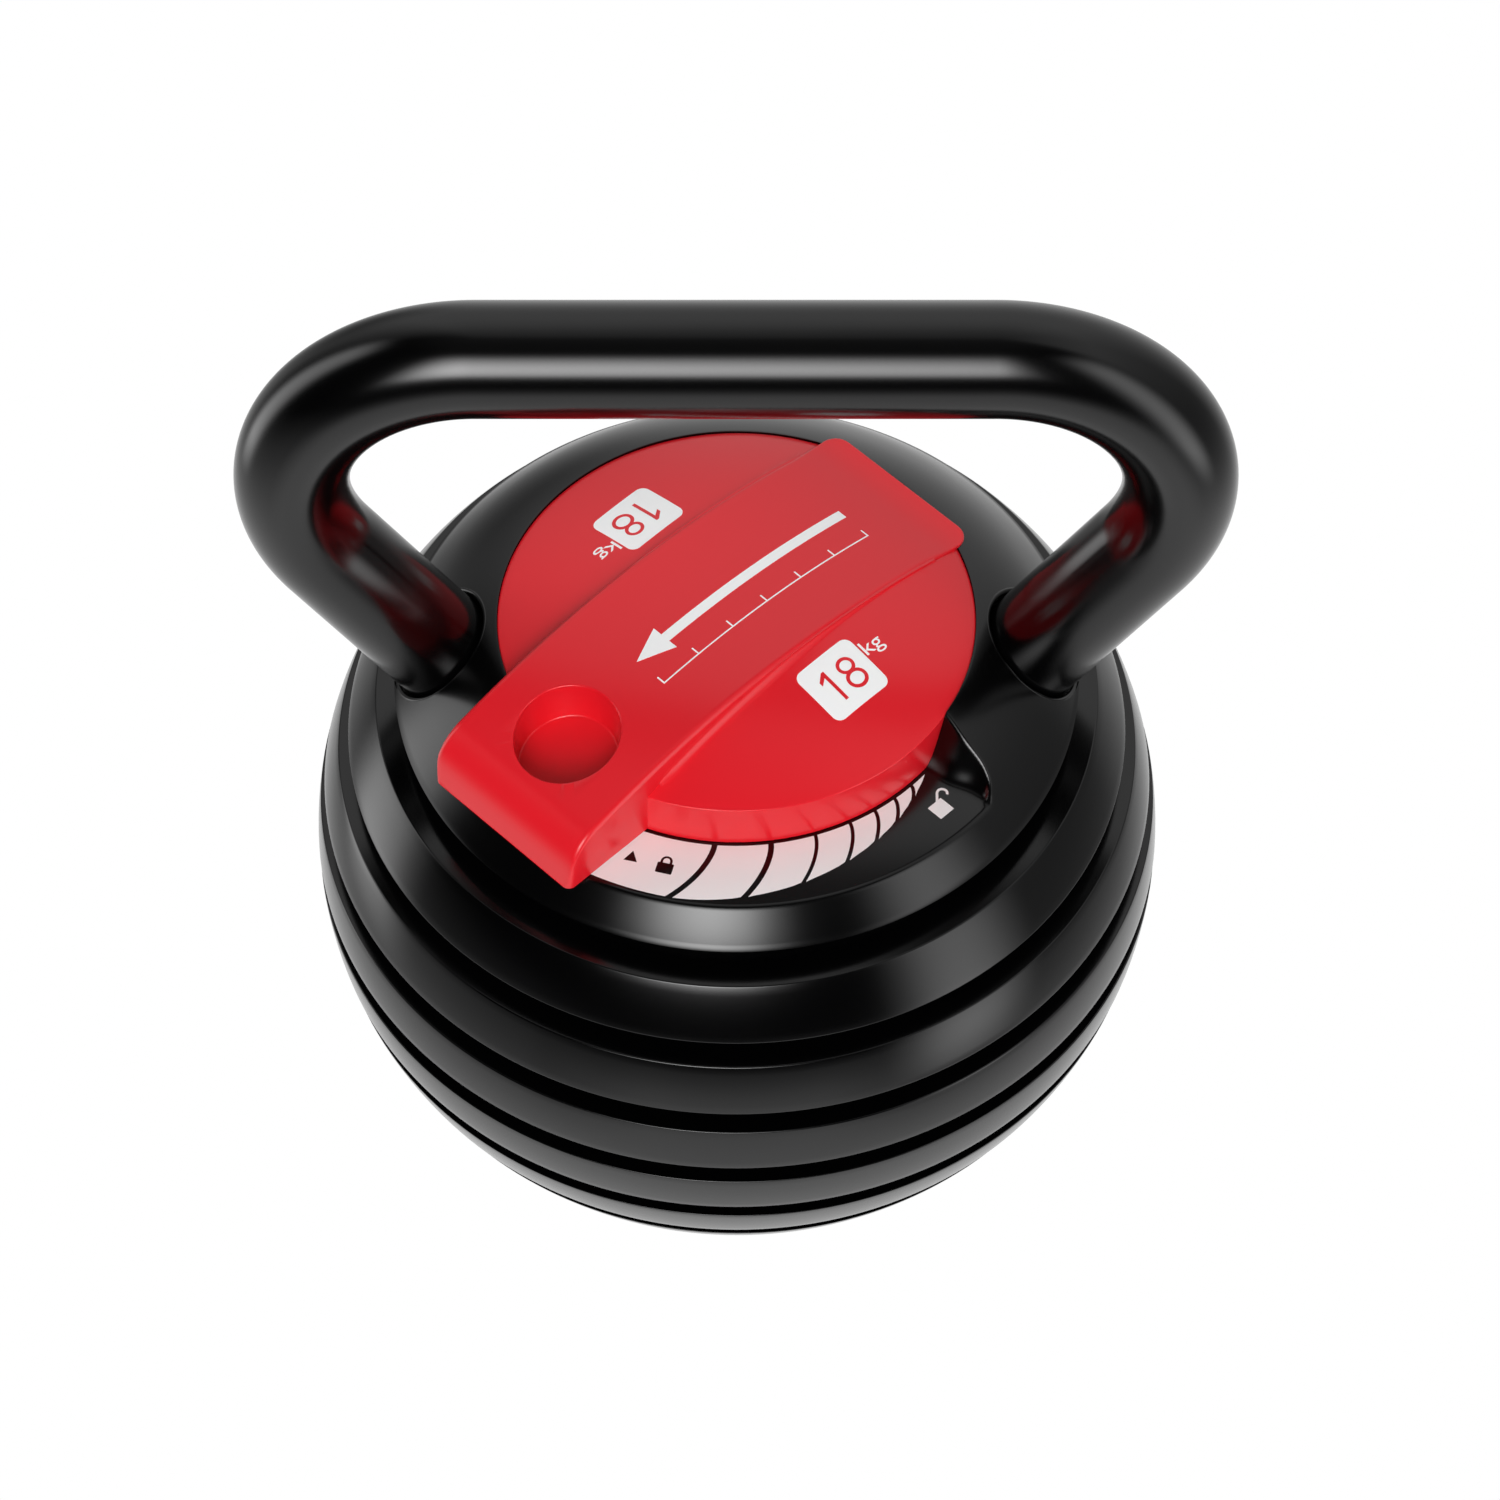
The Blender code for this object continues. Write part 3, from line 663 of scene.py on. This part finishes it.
def make_socket_lip(side):
    """Rounded lip of a socket: flush with the dome outside, turning down beside the leg."""
    name = "socket_lip_right" if side > 0 else "socket_lip_left"
    _, up, _, _ = leg_frame(side)
    segments = 96
    columns = []
    for k in range(segments):
        turn = 2 * pi * k / segments
        outer = on_dome(side, SOCKET_R + SOCKET_LIP, turn)
        corner = on_dome(side, SOCKET_R, turn)
        down = corner - up * SOCKET_LIP
        points = []
        for i in range(7):
            t = i / 6
            points.append(outer * (1 - t) ** 2 + corner * 2 * t * (1 - t) + down * t * t)
        points += [corner - up * SOCKET_DEPTH, outer - up * SOCKET_DEPTH]
        columns.append([Vector((p.x, p.y, max(p.z, CAP_Z + 0.02))) for p in points])
    publish(name, ring_solid(zip(*columns)), BLACK_CAP, "housing", "cap_plastic")


def handle_path():
    """Centreline of the right half of the handle, from the middle of the grip to the foot."""
    middle = GRIP_TOP - TUBE_R
    points = [(GRIP_HALF * i / 8, middle, 0.0) for i in range(8)]
    bends = 64
    for i in range(bends + 1):
        turn = (90 + LEG_LEAN) * i / bends
        x = GRIP_HALF + BEND_R * sin(radians(turn))
        points.append((x, middle - BEND_R + BEND_R * cos(radians(turn)), turn))
    end = points[-1]
    drop = end[1] - CAP_Z - 2.0
    for i in range(1, 17):
        down = drop * i / 16
        points.append((end[0] - down * tan(radians(LEG_LEAN)), end[1] - down, 90 + LEG_LEAN))
    return points


def make_handle():
    """Bent tube, with its feet flattened inside the sockets."""
    half = handle_path()
    path = [(-x, z, -turn) for x, z, turn in reversed(half[1:])] + half
    sides = 96
    rows = []
    for x, z, turn in path:
        out_x, out_z = sin(radians(turn)), cos(radians(turn))
        row = []
        for k in range(sides):
            a = 2 * pi * k / sides
            px = x + out_x * TUBE_R * cos(a)
            pz = z + out_z * TUBE_R * cos(a)
            if pz < LEG_FLAT_TOP and abs(px) < LEG_FLAT_X:
                px = LEG_FLAT_X * (1 if px > 0 else -1)
            row.append((px, TUBE_R * sin(a), max(pz, CAP_Z + 0.6)))
        rows.append(row)
    made = publish("grip_tube", capped_solid(rows), BLACK_TUBE, "housing", "handle_coating", "handle_tube")
    polish(made, 50)


# ---------------------------------------------------------------- dial

def disc_height(r):
    """Height of the dial's domed top."""
    return BALL_Z + DIAL_DOME_TOP - r * r / (2 * DIAL_DOME_R)


def bar_arch(u):
    """Height of the bar's arched top above the ball's centre."""
    return BAR_PEAK - (u - BAR_PEAK_U) ** 2 / BAR_BEND


def bar_height(u):
    """Height of the bar's top along its length; the pointer's end is at negative u."""
    if u > 30:
        return BALL_Z + smooth_max(bar_arch(u), BAR_FAR_TOP, 1.6)
    if u > NOSE_FROM:
        return BALL_Z + bar_arch(u)
    lean = atan(-2 * (NOSE_FROM - BAR_PEAK_U) / BAR_BEND)
    middle = NOSE_FROM + NOSE_R * sin(lean)
    end = middle - NOSE_R * sin(atan(NOSE_SLOPE))
    if u < end:
        return BALL_Z + NOSE_FOOT[1] + (u - NOSE_FOOT[0]) * NOSE_SLOPE
    return BALL_Z + bar_arch(NOSE_FROM) - NOSE_R * cos(lean) + sqrt(NOSE_R ** 2 - (u - middle) ** 2)


def over_disc(u, v):
    """Height of the disc's top in the bar's axes."""
    return disc_height(hypot(u, v))


def over_bar(u, v):
    """Height of the bar's top."""
    return bar_height(u)


def disc_profile():
    """Section of the dial's disc with a rounded rim and a hollow underside."""
    low = DECK_Z + DIAL_GAP
    top = [(DIAL_R * (1 - i / 24), disc_height(DIAL_R * (1 - i / 24))) for i in range(2, 24)]
    rim = soften([(DIAL_R + 0.05, low), (DIAL_R, disc_height(DIAL_R)), (DIAL_R - 3, disc_height(DIAL_R - 3))],
                 [0.0, 0.25, 0.0], 6)
    bore, hub, wall, hub_low, hollow = 0.6, 20.0, 38.0, low + 6.0, low + 10.0
    under = [(bore, hub_low), (hub, hub_low), (hub + 0.5, hollow), (wall - 0.5, hollow), (wall, low + 0.5),
             (wall + 0.5, low)]
    return rim + top + [(bore, disc_height(0))] + under


def bar_outline():
    """Plan outline of the bar, anticlockwise from the far right corner."""
    count_side, count_end = 90, 22
    near, far, half = BAR_NEAR, BAR_FAR, BAR_HALF
    r_far, r_near = BAR_FAR_R, BAR_NEAR_R
    points = []

    def corner(cx, cy, radius, start):
        for i in range(9):
            a = radians(start + 90 * i / 8)
            points.append((cx + radius * cos(a), cy + radius * sin(a)))

    corner(far - r_far, half - r_far, r_far, 0)
    for i in range(1, count_side):
        points.append((far - r_far + (near + r_near - far + r_far) * i / count_side, half))
    corner(near + r_near, half - r_near, r_near, 90)
    for i in range(1, count_end):
        points.append((near, half - r_near - 2 * (half - r_near) * i / count_end))
    corner(near + r_near, -half + r_near, r_near, 180)
    for i in range(1, count_side):
        points.append((near + r_near + (far - r_far - near - r_near) * i / count_side, -half))
    corner(far - r_far, -half + r_far, r_far, 270)
    for i in range(1, count_end):
        points.append((far, -half + r_far + 2 * (half - r_far) * i / count_end))
    return points


def bar_bottom(u):
    """Height of the bar's underside: just over the pocket floor, inside the disc, then over the dome."""
    if u < -50:
        return DECK_Z + BAR_GAP
    if u < 50:
        return DECK_Z + INSIDE_DISC
    return BALL_Z + BAR_FAR_BOTTOM


def bar_solid():
    """Raised bar as rings that shrink from its plan outline onto its middle line."""
    outline = bar_outline()
    shares = [0, 0.004, 0.011, 0.021, 0.034, 0.05, 0.068, 0.088, 0.11, 0.135, 0.165, 0.2, 0.235, 0.27, 0.31,
              0.35, 0.4, 0.55, 0.75, 0.96]
    rows = [[(u, v, bar_bottom(u)) for u, v in outline]]
    for share in shares:
        row = []
        for u, v in outline:
            middle = min(max(u, BAR_NEAR + BAR_HALF), BAR_FAR - BAR_HALF)
            x = middle + (u - middle) * (1 - share)
            y = v * (1 - share)
            edge = BAR_EDGE if u < 45 else BAR_EDGE - BAR_EDGE_CUT * min((u - 45) / 10, 1)
            inside = min(share * BAR_HALF / edge, 1.0)
            fall = edge * (1 - sqrt(1 - (1 - inside) ** 2))
            row.append((x, y, max(bar_height(x) - fall, bar_bottom(x) + 0.05 + share)))
        rows.append(row)
    bm = bmesh.new()
    table = [[bm.verts.new(p) for p in row] for row in rows]
    stitch(bm, table)
    for ring in (table[0], table[-1]):
        bm.faces.new(ring)
    bmesh.ops.triangulate(bm, faces=[f for f in bm.faces if len(f.verts) > 4])
    return face_out(bm)


def dial_turn():
    """Matrix from the bar's own axes to the object's."""
    return Matrix.Rotation(radians(POINTER + 90), 4, "Z")


def dimple_cutter():
    """Round dimple with a floor fillet; its floor and rim follow the slope of the bar's top."""
    centre, radius, low_radius, floor = -59.0, 13.35, 12.85, BALL_Z + 81.3
    rim, fillet, segments = 0.45, 0.6, 96
    slope = 0.21
    columns = []
    for k in range(segments):
        a = 2 * pi * k / segments
        top = bar_height(centre + radius * cos(a))
        base = [(0.3, floor)]
        base += [(low_radius - fillet + fillet * sin(radians(b)), floor + fillet * (1 - cos(radians(b))))
                 for b in (0, 22, 45, 67, 90)]
        upper = [(radius + rim * (1 - cos(radians(b))), top - rim + rim * sin(radians(b)))
                 for b in (0, 20, 40, 60, 78)]
        upper += [(radius + rim * 1.6, top + 2.0), (0.3, top + 6.0)]
        points = [(r, z + slope * r * cos(a)) for r, z in base] + upper
        columns.append([(centre + r * cos(a), r * sin(a), z) for r, z in points])
    return capped_solid(zip(*columns))


def fillet_strips():
    """Concave fillets between the bar's sides and the disc, one closed solid each."""
    bm = bmesh.new()
    count = 60
    for side in (-1, 1):
        table = []
        for i in range(count + 1):
            u = FILLET_FROM + FILLET_LENGTH * i / count
            base = over_disc(u, BAR_HALF)
            reach = sqrt(DIAL_R ** 2 - BAR_HALF ** 2) - abs(u)
            size = FILLET_R * min(max(reach / 8.0, 0.04), 1.0)
            size = min(size, max((bar_height(u) - base) * 0.75, 0.06))
            row = [(u, BAR_HALF + size, base - 1.0)]
            for k in range(7):
                t = radians(90 * k / 6)
                v = BAR_HALF + size * (1 - sin(t))
                row.append((u, v, over_disc(u, v) + size * (1 - cos(t)) - 0.02))
            row += [(u, BAR_HALF - 1.0, base + size - 0.02), (u, BAR_HALF - 1.0, base - 1.0)]
            table.append([bm.verts.new((x, y * side, z)) for x, y, z in row])
        bm.faces.new(table[0])
        bm.faces.new(table[-1])
        stitch(bm, table)
    return face_out(bm)


def in_dial(bm):
    """Turn a bmesh from the bar's axes into the object's."""
    bmesh.ops.transform(bm, matrix=dial_turn(), verts=bm.verts)
    return bm


def make_dial():
    """Disc, bar, fillets and dimple in one red moulding."""
    disc = ring_solid(turned(disc_profile(), 256))
    made = publish("dial_body", disc, RED, "dial", "dial_plastic", "lock_dial")
    inset = 0.2
    room = shell(over_bar, (-58.0, inset - BAR_HALF), (BAR_FAR - inset, BAR_HALF - inset), 8.0, 1.0, 2.0)
    carve(made, "DIFFERENCE", helper("room_tool", in_dial(room)))
    carve(made, "UNION", helper("bar_tool", in_dial(bar_solid())))
    carve(made, "DIFFERENCE", helper("dimple_tool", in_dial(dimple_cutter())))
    carve(made, "UNION", helper("fillet_tool", in_dial(fillet_strips())))
    polish(made, 32)


# ---------------------------------------------------------------- prints

def scale_reach(azimuth):
    """Outer radius of the crescent scale."""
    past = max(azimuth - SCALE_BEND, 0.0) / (SCALE_TIP - SCALE_BEND)
    return SCALE_OUT - (SCALE_OUT - SCALE_IN) * past ** 1.5


def mark_edge(azimuth, side):
    """Edge of the curved gap that starts at an azimuth on the inner edge; side -1 or 1."""
    steps = 14
    width = 1.45 if azimuth < 15 else 0.95
    depth = (scale_reach(azimuth) - SCALE_IN) / (SCALE_OUT - SCALE_IN)
    sweep = MARK_SWEEP * depth ** 0.6
    outer = scale_reach(azimuth + sweep)
    points = []
    for i in range(steps + 1):
        share = i / steps
        r = SCALE_IN + (outer - SCALE_IN) * share
        slope = radians(sweep) * 1.5 * share ** 0.5 / (outer - SCALE_IN) * r
        half = width / 2 * sqrt(1 + slope * slope)
        points.append((r, azimuth + sweep * share ** 1.5 + side * degrees(half / r)))
    return points


def scale_outlines():
    """Closed outlines of the crescent's fields between its gaps."""
    fields = []
    lefts = [[(SCALE_IN, SCALE_START), (SCALE_OUT, SCALE_START)]] + [mark_edge(a, 1) for a in SCALE_MARKS]
    rights = [mark_edge(a, -1) for a in SCALE_MARKS] + [[(SCALE_IN, SCALE_TIP - 0.3)]]
    for left, right in zip(lefts, rights):
        points = list(left)
        first, last = left[-1][1], right[-1][1]
        count = max(2, round((last - first) / 1.5))
        for i in range(1, count):
            azimuth = first + (last - first) * i / count
            points.append((scale_reach(azimuth), azimuth))
        points += reversed(right)
        first, last = right[0][1], left[0][1]
        for i in range(1, count):
            points.append((SCALE_IN, first + (last - first) * i / count))
        fields.append([ahead(r, a) for r, a in points])
    return fields


def placed(outline, centre, turn=0.0):
    """Turn and move an outline."""
    c, s = cos(radians(turn)), sin(radians(turn))
    return [(centre[0] + x * c - y * s, centre[1] + x * s + y * c) for x, y in outline]


def shackle(centre, outer, inner, start, end, legs):
    """Outline of a padlock's bow: an arc between two angles, and the lengths of its two legs down."""
    arc = [start + (end - start) * i / 16 for i in range(17)]
    outside = [(centre[0] + outer * cos(radians(a)), centre[1] + outer * sin(radians(a))) for a in arc]
    inside = [(centre[0] + inner * cos(radians(a)), centre[1] + inner * sin(radians(a))) for a in arc]
    made = outside
    if legs[1]:
        made = made + [(outside[-1][0], outside[-1][1] - legs[1]), (inside[-1][0], inside[-1][1] - legs[1])]
    made = made + inside[::-1]
    if legs[0]:
        made = made + [(inside[0][0], inside[0][1] - legs[0]), (outside[0][0], outside[0][1] - legs[0])]
    return made


def make_scale():
    """White crescent scale with a pointer mark and a closed padlock left black, and a white open padlock."""
    low, high = DECK_Z - PRINT_SUNK, DECK_Z + PRINT_T
    made = publish("scale_print", prisms(scale_outlines(), low, high), PAPER, "housing", "label_print",
                   "scale_label")
    arrow_at = ahead(69.4, -21.9)
    arrow = placed([(-1.75, -1.5), (1.75, -1.5), (0.0, 1.75)], arrow_at, -14)
    lock_at = ahead(69.6, -14.6)
    body = placed(soften([(-2.1, -2.3), (2.1, -2.3), (2.1, 0.9), (-2.1, 0.9)], 0.3, 3), lock_at, -14.6)
    bow = placed(shackle((0.0, 1.5), 1.5, 0.85, 180, 0, (1.2, 1.2)), lock_at, -14.6)
    carve(made, "DIFFERENCE", *[helper("mark_tool", prisms([shape], low - 1, high + 1))
                                for shape in (arrow, body, bow)])
    open_at = (50.9, -49.8)
    block = placed(soften([(-2.3, -2.3), (2.3, -2.3), (2.3, 2.3), (-2.3, 2.3)], 0.15, 2), open_at, 45)
    hook = placed(shackle((0.4, 4.7), 1.6, 0.95, 180, -15, (3.0, 0.0)), open_at)
    icon = helper("icon", prisms([block], low, high))
    carve(icon, "UNION", helper("hook", prisms([hook], low, high)))
    carve(made, "UNION", icon)
    polish(made, 30)


def rounded_box(centre, width, height, radius):
    """Outline of a box with round corners."""
    points = []
    for x, y, start in ((1, 1, 0), (-1, 1, 90), (-1, -1, 180), (1, -1, 270)):
        middle = (centre[0] + x * (width / 2 - radius), centre[1] + y * (height / 2 - radius))
        for i in range(9):
            dx, dy = polar(radius, start + 90 * i / 8)
            points.append((middle[0] + dx, middle[1] + dy))
    return points


def print_on(name, height, start, end, tools):
    """White print that follows the dial's top, kept only where the tools' prisms are."""
    keep = tools.pop(0)
    for tool in tools:
        carve(keep, *tool)
    sheet = shell(height, start, end, PRINT_T, PRINT_SUNK)
    made = publish(name, sheet, WHITE, "dial", "label_print")
    carve(made, "INTERSECT", keep)
    made.data.transform(dial_turn())
    polish(made, 30)


def oval_ring(centre, half_width, half_height, stroke):
    """Ring of an even stroke round an ellipse, through the height of the dial's top."""
    z0, z1 = PRINT_REACH
    rows = []
    for inset, z in ((0.0, z0), (0.0, z1), (stroke, z1), (stroke, z0)):
        rows.append([(centre[0] + (half_width - inset) * cos(2 * pi * k / 48),
                      centre[1] + (half_height - inset) * sin(2 * pi * k / 48), z) for k in range(48)])
    return ring_solid(rows)


def make_weight_mark(name, side):
    """White square with the number left red, and the unit beside it."""
    middle = (WEIGHT_AT[0], WEIGHT_AT[1] * side)
    turn = 180 if side > 0 else 0
    one = [(-2.3, -4.7), (-2.3, 4.5), (-3.1, 4.5), (-5.3, 2.7), (-5.3, 1.5), (-3.3, 2.9), (-3.3, -4.7)]
    low, high, unit_at = placed([(3.3, -2.05), (3.3, 2.15), (12.9, 2.0)], middle, turn)
    digits = [prisms([placed(one, middle, turn)], *PRINT_REACH), oval_ring(low, 3.0, 2.7, 1.0),
              oval_ring(high, 2.6, 2.35, 0.95)]
    tools = [helper("square", prisms([rounded_box(middle, *WEIGHT_BOX, WEIGHT_CORNER)], *PRINT_REACH))]
    tools += [("DIFFERENCE", helper("digit", digit)) for digit in digits]
    tools.append(("UNION", helper("unit", glyphs("kg", unit_at, UNIT_SIZE, turn == 180))))
    half_u, half_v = 17.0, 8.5
    start = (middle[0] - half_u, middle[1] - half_v)
    end = (middle[0] + half_u, middle[1] + half_v)
    print_on(name, over_disc, start, end, tools)


def make_bar_mark():
    """Plain arrow towards the pointer over a thin ruled line with ticks."""
    tip, tail = BAR_MARK_U
    neck = tip + 10.0
    arrow = [(tip, 1.5), (neck, 5.6), (neck, 2.9), (tail, 2.9), (tail, 0.1), (neck, 0.1), (neck, -2.6)]
    start, end = tip + 0.1, tail - 0.3
    line = [(start, RULE_V), (end, RULE_V), (end, RULE_V + 0.35), (start, RULE_V + 0.35)]
    ticks, half = 7, 0.2
    places = [start + half + (end - start - 2 * half) * i / (ticks - 1) for i in range(ticks)]
    low, high = RULE_V + 0.2, RULE_V + 2.6
    marks = [[(u - half, low), (u + half, low), (u + half, high), (u - half, high)] for u in places]
    tools = [helper("arrow", prisms([arrow], *PRINT_REACH)),
             ("UNION", helper("line", prisms([line], *PRINT_REACH)))]
    tools += [("UNION", helper("tick", prisms([mark], *PRINT_REACH))) for mark in marks]
    print_on("bar_mark", over_bar, (-35.0, -9.0), (41.0, 7.0), tools)


# ---------------------------------------------------------------- CAD parts that keep their shape

def paint_hidden_parts():
    """Machined finishes for the lock's own parts."""
    steel = ["lock_shaft", "bearing_plate", "wave_washer", "retaining_ring", "stop_pin"]
    steel += ["bearing_screw_%d" % i for i in range(1, 5)] + ["dial_screw_%d" % i for i in range(1, 4)]
    for name, look in [(name, STEEL) for name in steel] + [("shaft_bush", BRONZE)]:
        for place in bpy.data.objects[name].material_slots:
            place.link = "OBJECT"
            place.material = look


# ---------------------------------------------------------------- stage, lights, camera

def make_stage():
    """White floor that only the camera sees, so that it casts no tint on the object."""
    mesh = bpy.data.meshes.new("floor")
    half = 6.0
    mesh.from_pydata([(-half, -half, 0), (half, -half, 0), (half, half, 0), (-half, half, 0)], [],
                     [(0, 1, 2, 3)])
    floor = bpy.data.objects.new("floor", mesh)
    bpy.context.scene.collection.objects.link(floor)
    look = bpy.data.materials.new("floor_white")
    look.use_nodes = True
    tree = look.node_tree
    shine = tree.nodes.new("ShaderNodeEmission")
    tree.links.new(shine.outputs["Emission"], tree.nodes["Material Output"].inputs["Surface"])
    mesh.materials.append(look)
    floor.visible_diffuse = False
    floor.visible_glossy = False
    floor.visible_transmission = False
    floor.visible_shadow = False


# The studio: each panel is a brightness, a profile along azimuth and a profile along elevation,
# both as (degrees, share) marks joined by straight lines.
ALL_ROUND = [(-180, 1), (180, 1)]
FILL_W = 12.0
CAMERA_AT = (3.1, 842.2, 1163.2)         # right of, before and above the ball's centre, in modules
CAMERA_TILT = 36.55                      # from straight down
STUDIO = [
    (1.0, ALL_ROUND,
     [(-90, 0.90), (-56, 0.90), (-48, 0.80), (-42, 0.62), (-35, 0.40), (-28, 0.24), (-20, 0.12),
      (-12, 0.04), (-5, 0.01), (0, 0.0), (60, 0.0), (72, 0.05), (90, 0.10)]),
    (1.0, [(-45, 0), (-20, 1), (20, 1), (45, 0)],
     [(-52, 0), (-42, 0.28), (-35, 0.50), (-29, 0.62), (-25, 0.52), (-20, 0.30), (-15, 0.12), (-8, 0)]),
    (1.0, [(-118, 0), (-95, 1), (-50, 1), (-30, 0)],
     [(-48, 0), (-36, 0.14), (-22, 0.18), (-10, 0.08), (0, 0)]),
    (11.2, [(-36, 0), (-28, 0.20), (-20, 0.66), (-11, 1), (-6, 1), (3, 0.66), (9, 0.20), (17, 0)],
     [(9, 0), (14, 0.16), (19, 0.72), (26, 1), (33, 1), (41, 0.70), (48, 0.38), (53, 0.12), (59, 0)]),
    (2.42,
     [(-124, 0), (-119, 0.25), (-112, 0.92), (-108, 1), (-104, 1), (-97, 0.75), (-91, 0.22), (-85, 0)],
     [(-37, 0), (-24, 1), (35, 0.95), (42, 0.66), (48, 0.2), (54, 0)]),
    (2.22, [(35, 0), (41, 0.25), (48, 0.80), (53, 1), (58, 1), (64, 0.75), (70, 0.30), (76, 0)],
     [(-37, 0), (-24, 1), (33, 0.93), (42, 0.64), (48, 0.25), (54, 0)]),
    (1.06, [(68, 0), (80, 1), (112, 1), (145, 0)],
     [(-45, 0), (-20, 0.10), (0, 0.19), (20, 0.32), (35, 0.46), (47, 0.62), (60, 0.53), (75, 0.32),
      (90, 0.1)]),
    (1.06, [(-180, 1), (-155, 1), (-130, 0.35), (-112, 0), (112, 0), (145, 1), (180, 1)],
     [(0, 0), (12, 0.29), (25, 0.68), (45, 0.82), (60, 0.74), (75, 0.40), (90, 0.15)]),
    (1.64, [(-180, 1), (-176, 0.90), (-172, 0.72), (-168, 0.46), (-163, 0.27), (-158, 0.21), (-150, 0.21),
            (-143, 0.29), (-137, 0.35), (-130, 0.23), (-112, 0), (112, 0), (140, 0.68), (146, 0.81),
            (155, 0.84), (163, 0.94), (172, 1), (180, 1)],
     [(-60, 0), (-40, 0.11), (-25, 0.39), (-15, 0.54), (0, 0.55), (12, 0.29), (25, 0)]),
]


def step(tree, operation, *values):
    """One Math node; each value is a number or a node's output."""
    made = tree.nodes.new("ShaderNodeMath")
    made.operation = operation
    for socket, value in zip(made.inputs, values):
        if isinstance(value, (int, float)):
            socket.default_value = value
        else:
            tree.links.new(value, socket)
    return made.outputs["Value"]


def profile(tree, share, reach, marks):
    """Brightness along an angle that runs from -reach to reach as share runs from 0 to 1."""
    made = tree.nodes.new("ShaderNodeValToRGB")
    stops = made.color_ramp.elements
    while len(stops) < len(marks):
        stops.new(0.5)
    for stop, (angle, _) in zip(stops, marks):
        stop.position = (angle + reach) / (2 * reach)
    for stop, (_, level) in zip(stops, marks):
        stop.color = (level, level, level, 1.0)
    tree.links.new(share, made.inputs["Fac"])
    return made.outputs["Color"]


def make_fill():
    """Square soft box in front of the object and facing it, which reflections do not show."""
    azimuth, elevation, distance = -5, 38, 2.2
    data = bpy.data.lights.new("front_fill", "AREA")
    data.shape = "RECTANGLE"
    data.size = 0.8
    data.size_y = 0.8
    data.energy = FILL_W
    made = bpy.data.objects.new("front_fill", data)
    bpy.context.scene.collection.objects.link(made)
    aim = Vector((0, 0, 130)) * MM
    x, y = ahead(distance * cos(radians(elevation)), azimuth)
    made.location = Vector((x, y, distance * sin(radians(elevation)))) + aim
    made.rotation_euler = (aim - made.location).to_track_quat("-Z", "Y").to_euler()
    made.visible_glossy = False


def make_lights():
    """Studio of soft panels painted on the world; the camera itself sees plain white."""
    world = bpy.data.worlds.new("studio")
    bpy.context.scene.world = world
    world.use_nodes = True
    tree = world.node_tree
    place = tree.nodes.new("ShaderNodeTexCoord")
    axes = tree.nodes.new("ShaderNodeSeparateXYZ")
    tree.links.new(place.outputs["Generated"], axes.inputs["Vector"])
    x, y, z = [axes.outputs[name] for name in "XYZ"]
    azimuth = step(tree, "ARCTAN2", x, step(tree, "MULTIPLY", y, -1.0))
    along = step(tree, "MULTIPLY_ADD", azimuth, 0.5 / pi, 0.5)
    up = step(tree, "MULTIPLY_ADD", step(tree, "ARCSINE", z), 1 / pi, 0.5)
    total = 0.0
    for level, sides, heights in STUDIO:
        panel = step(tree, "MULTIPLY", profile(tree, along, 180, sides), profile(tree, up, 90, heights))
        total = step(tree, "MULTIPLY_ADD", panel, level, total)
    path = tree.nodes.new("ShaderNodeLightPath")
    seen = path.outputs["Is Camera Ray"]
    unseen = step(tree, "SUBTRACT", 1.0, seen)
    shown = step(tree, "MULTIPLY_ADD", total, unseen, seen)
    background = tree.nodes["Background"]
    background.inputs["Color"].default_value = (1, 1, 1, 1)
    tree.links.new(shown, background.inputs["Strength"])


def make_camera():
    """Camera above and in front, looking down at the object."""
    data = bpy.data.cameras.new("camera")
    data.sensor_width = 36.0
    data.lens = 143.87
    made = bpy.data.objects.new("camera", data)
    bpy.context.scene.collection.objects.link(made)
    right, back, up = CAMERA_AT
    made.location = (right * U * MM, -back * U * MM, (up * U + BALL_Z) * MM)
    made.rotation_euler = (radians(CAMERA_TILT), 0, 0)
    bpy.context.scene.camera = made


make_plates()
make_foot()
make_cap()
for side in (-1, 1):
    make_socket_lip(side)
make_handle()
make_dial()
make_scale()
make_weight_mark("weight_mark_front", -1)
make_weight_mark("weight_mark_back", 1)
make_bar_mark()
paint_hidden_parts()
make_stage()
make_lights()
make_fill()
make_camera()
bpy.context.scene.view_settings.view_transform = "Standard"
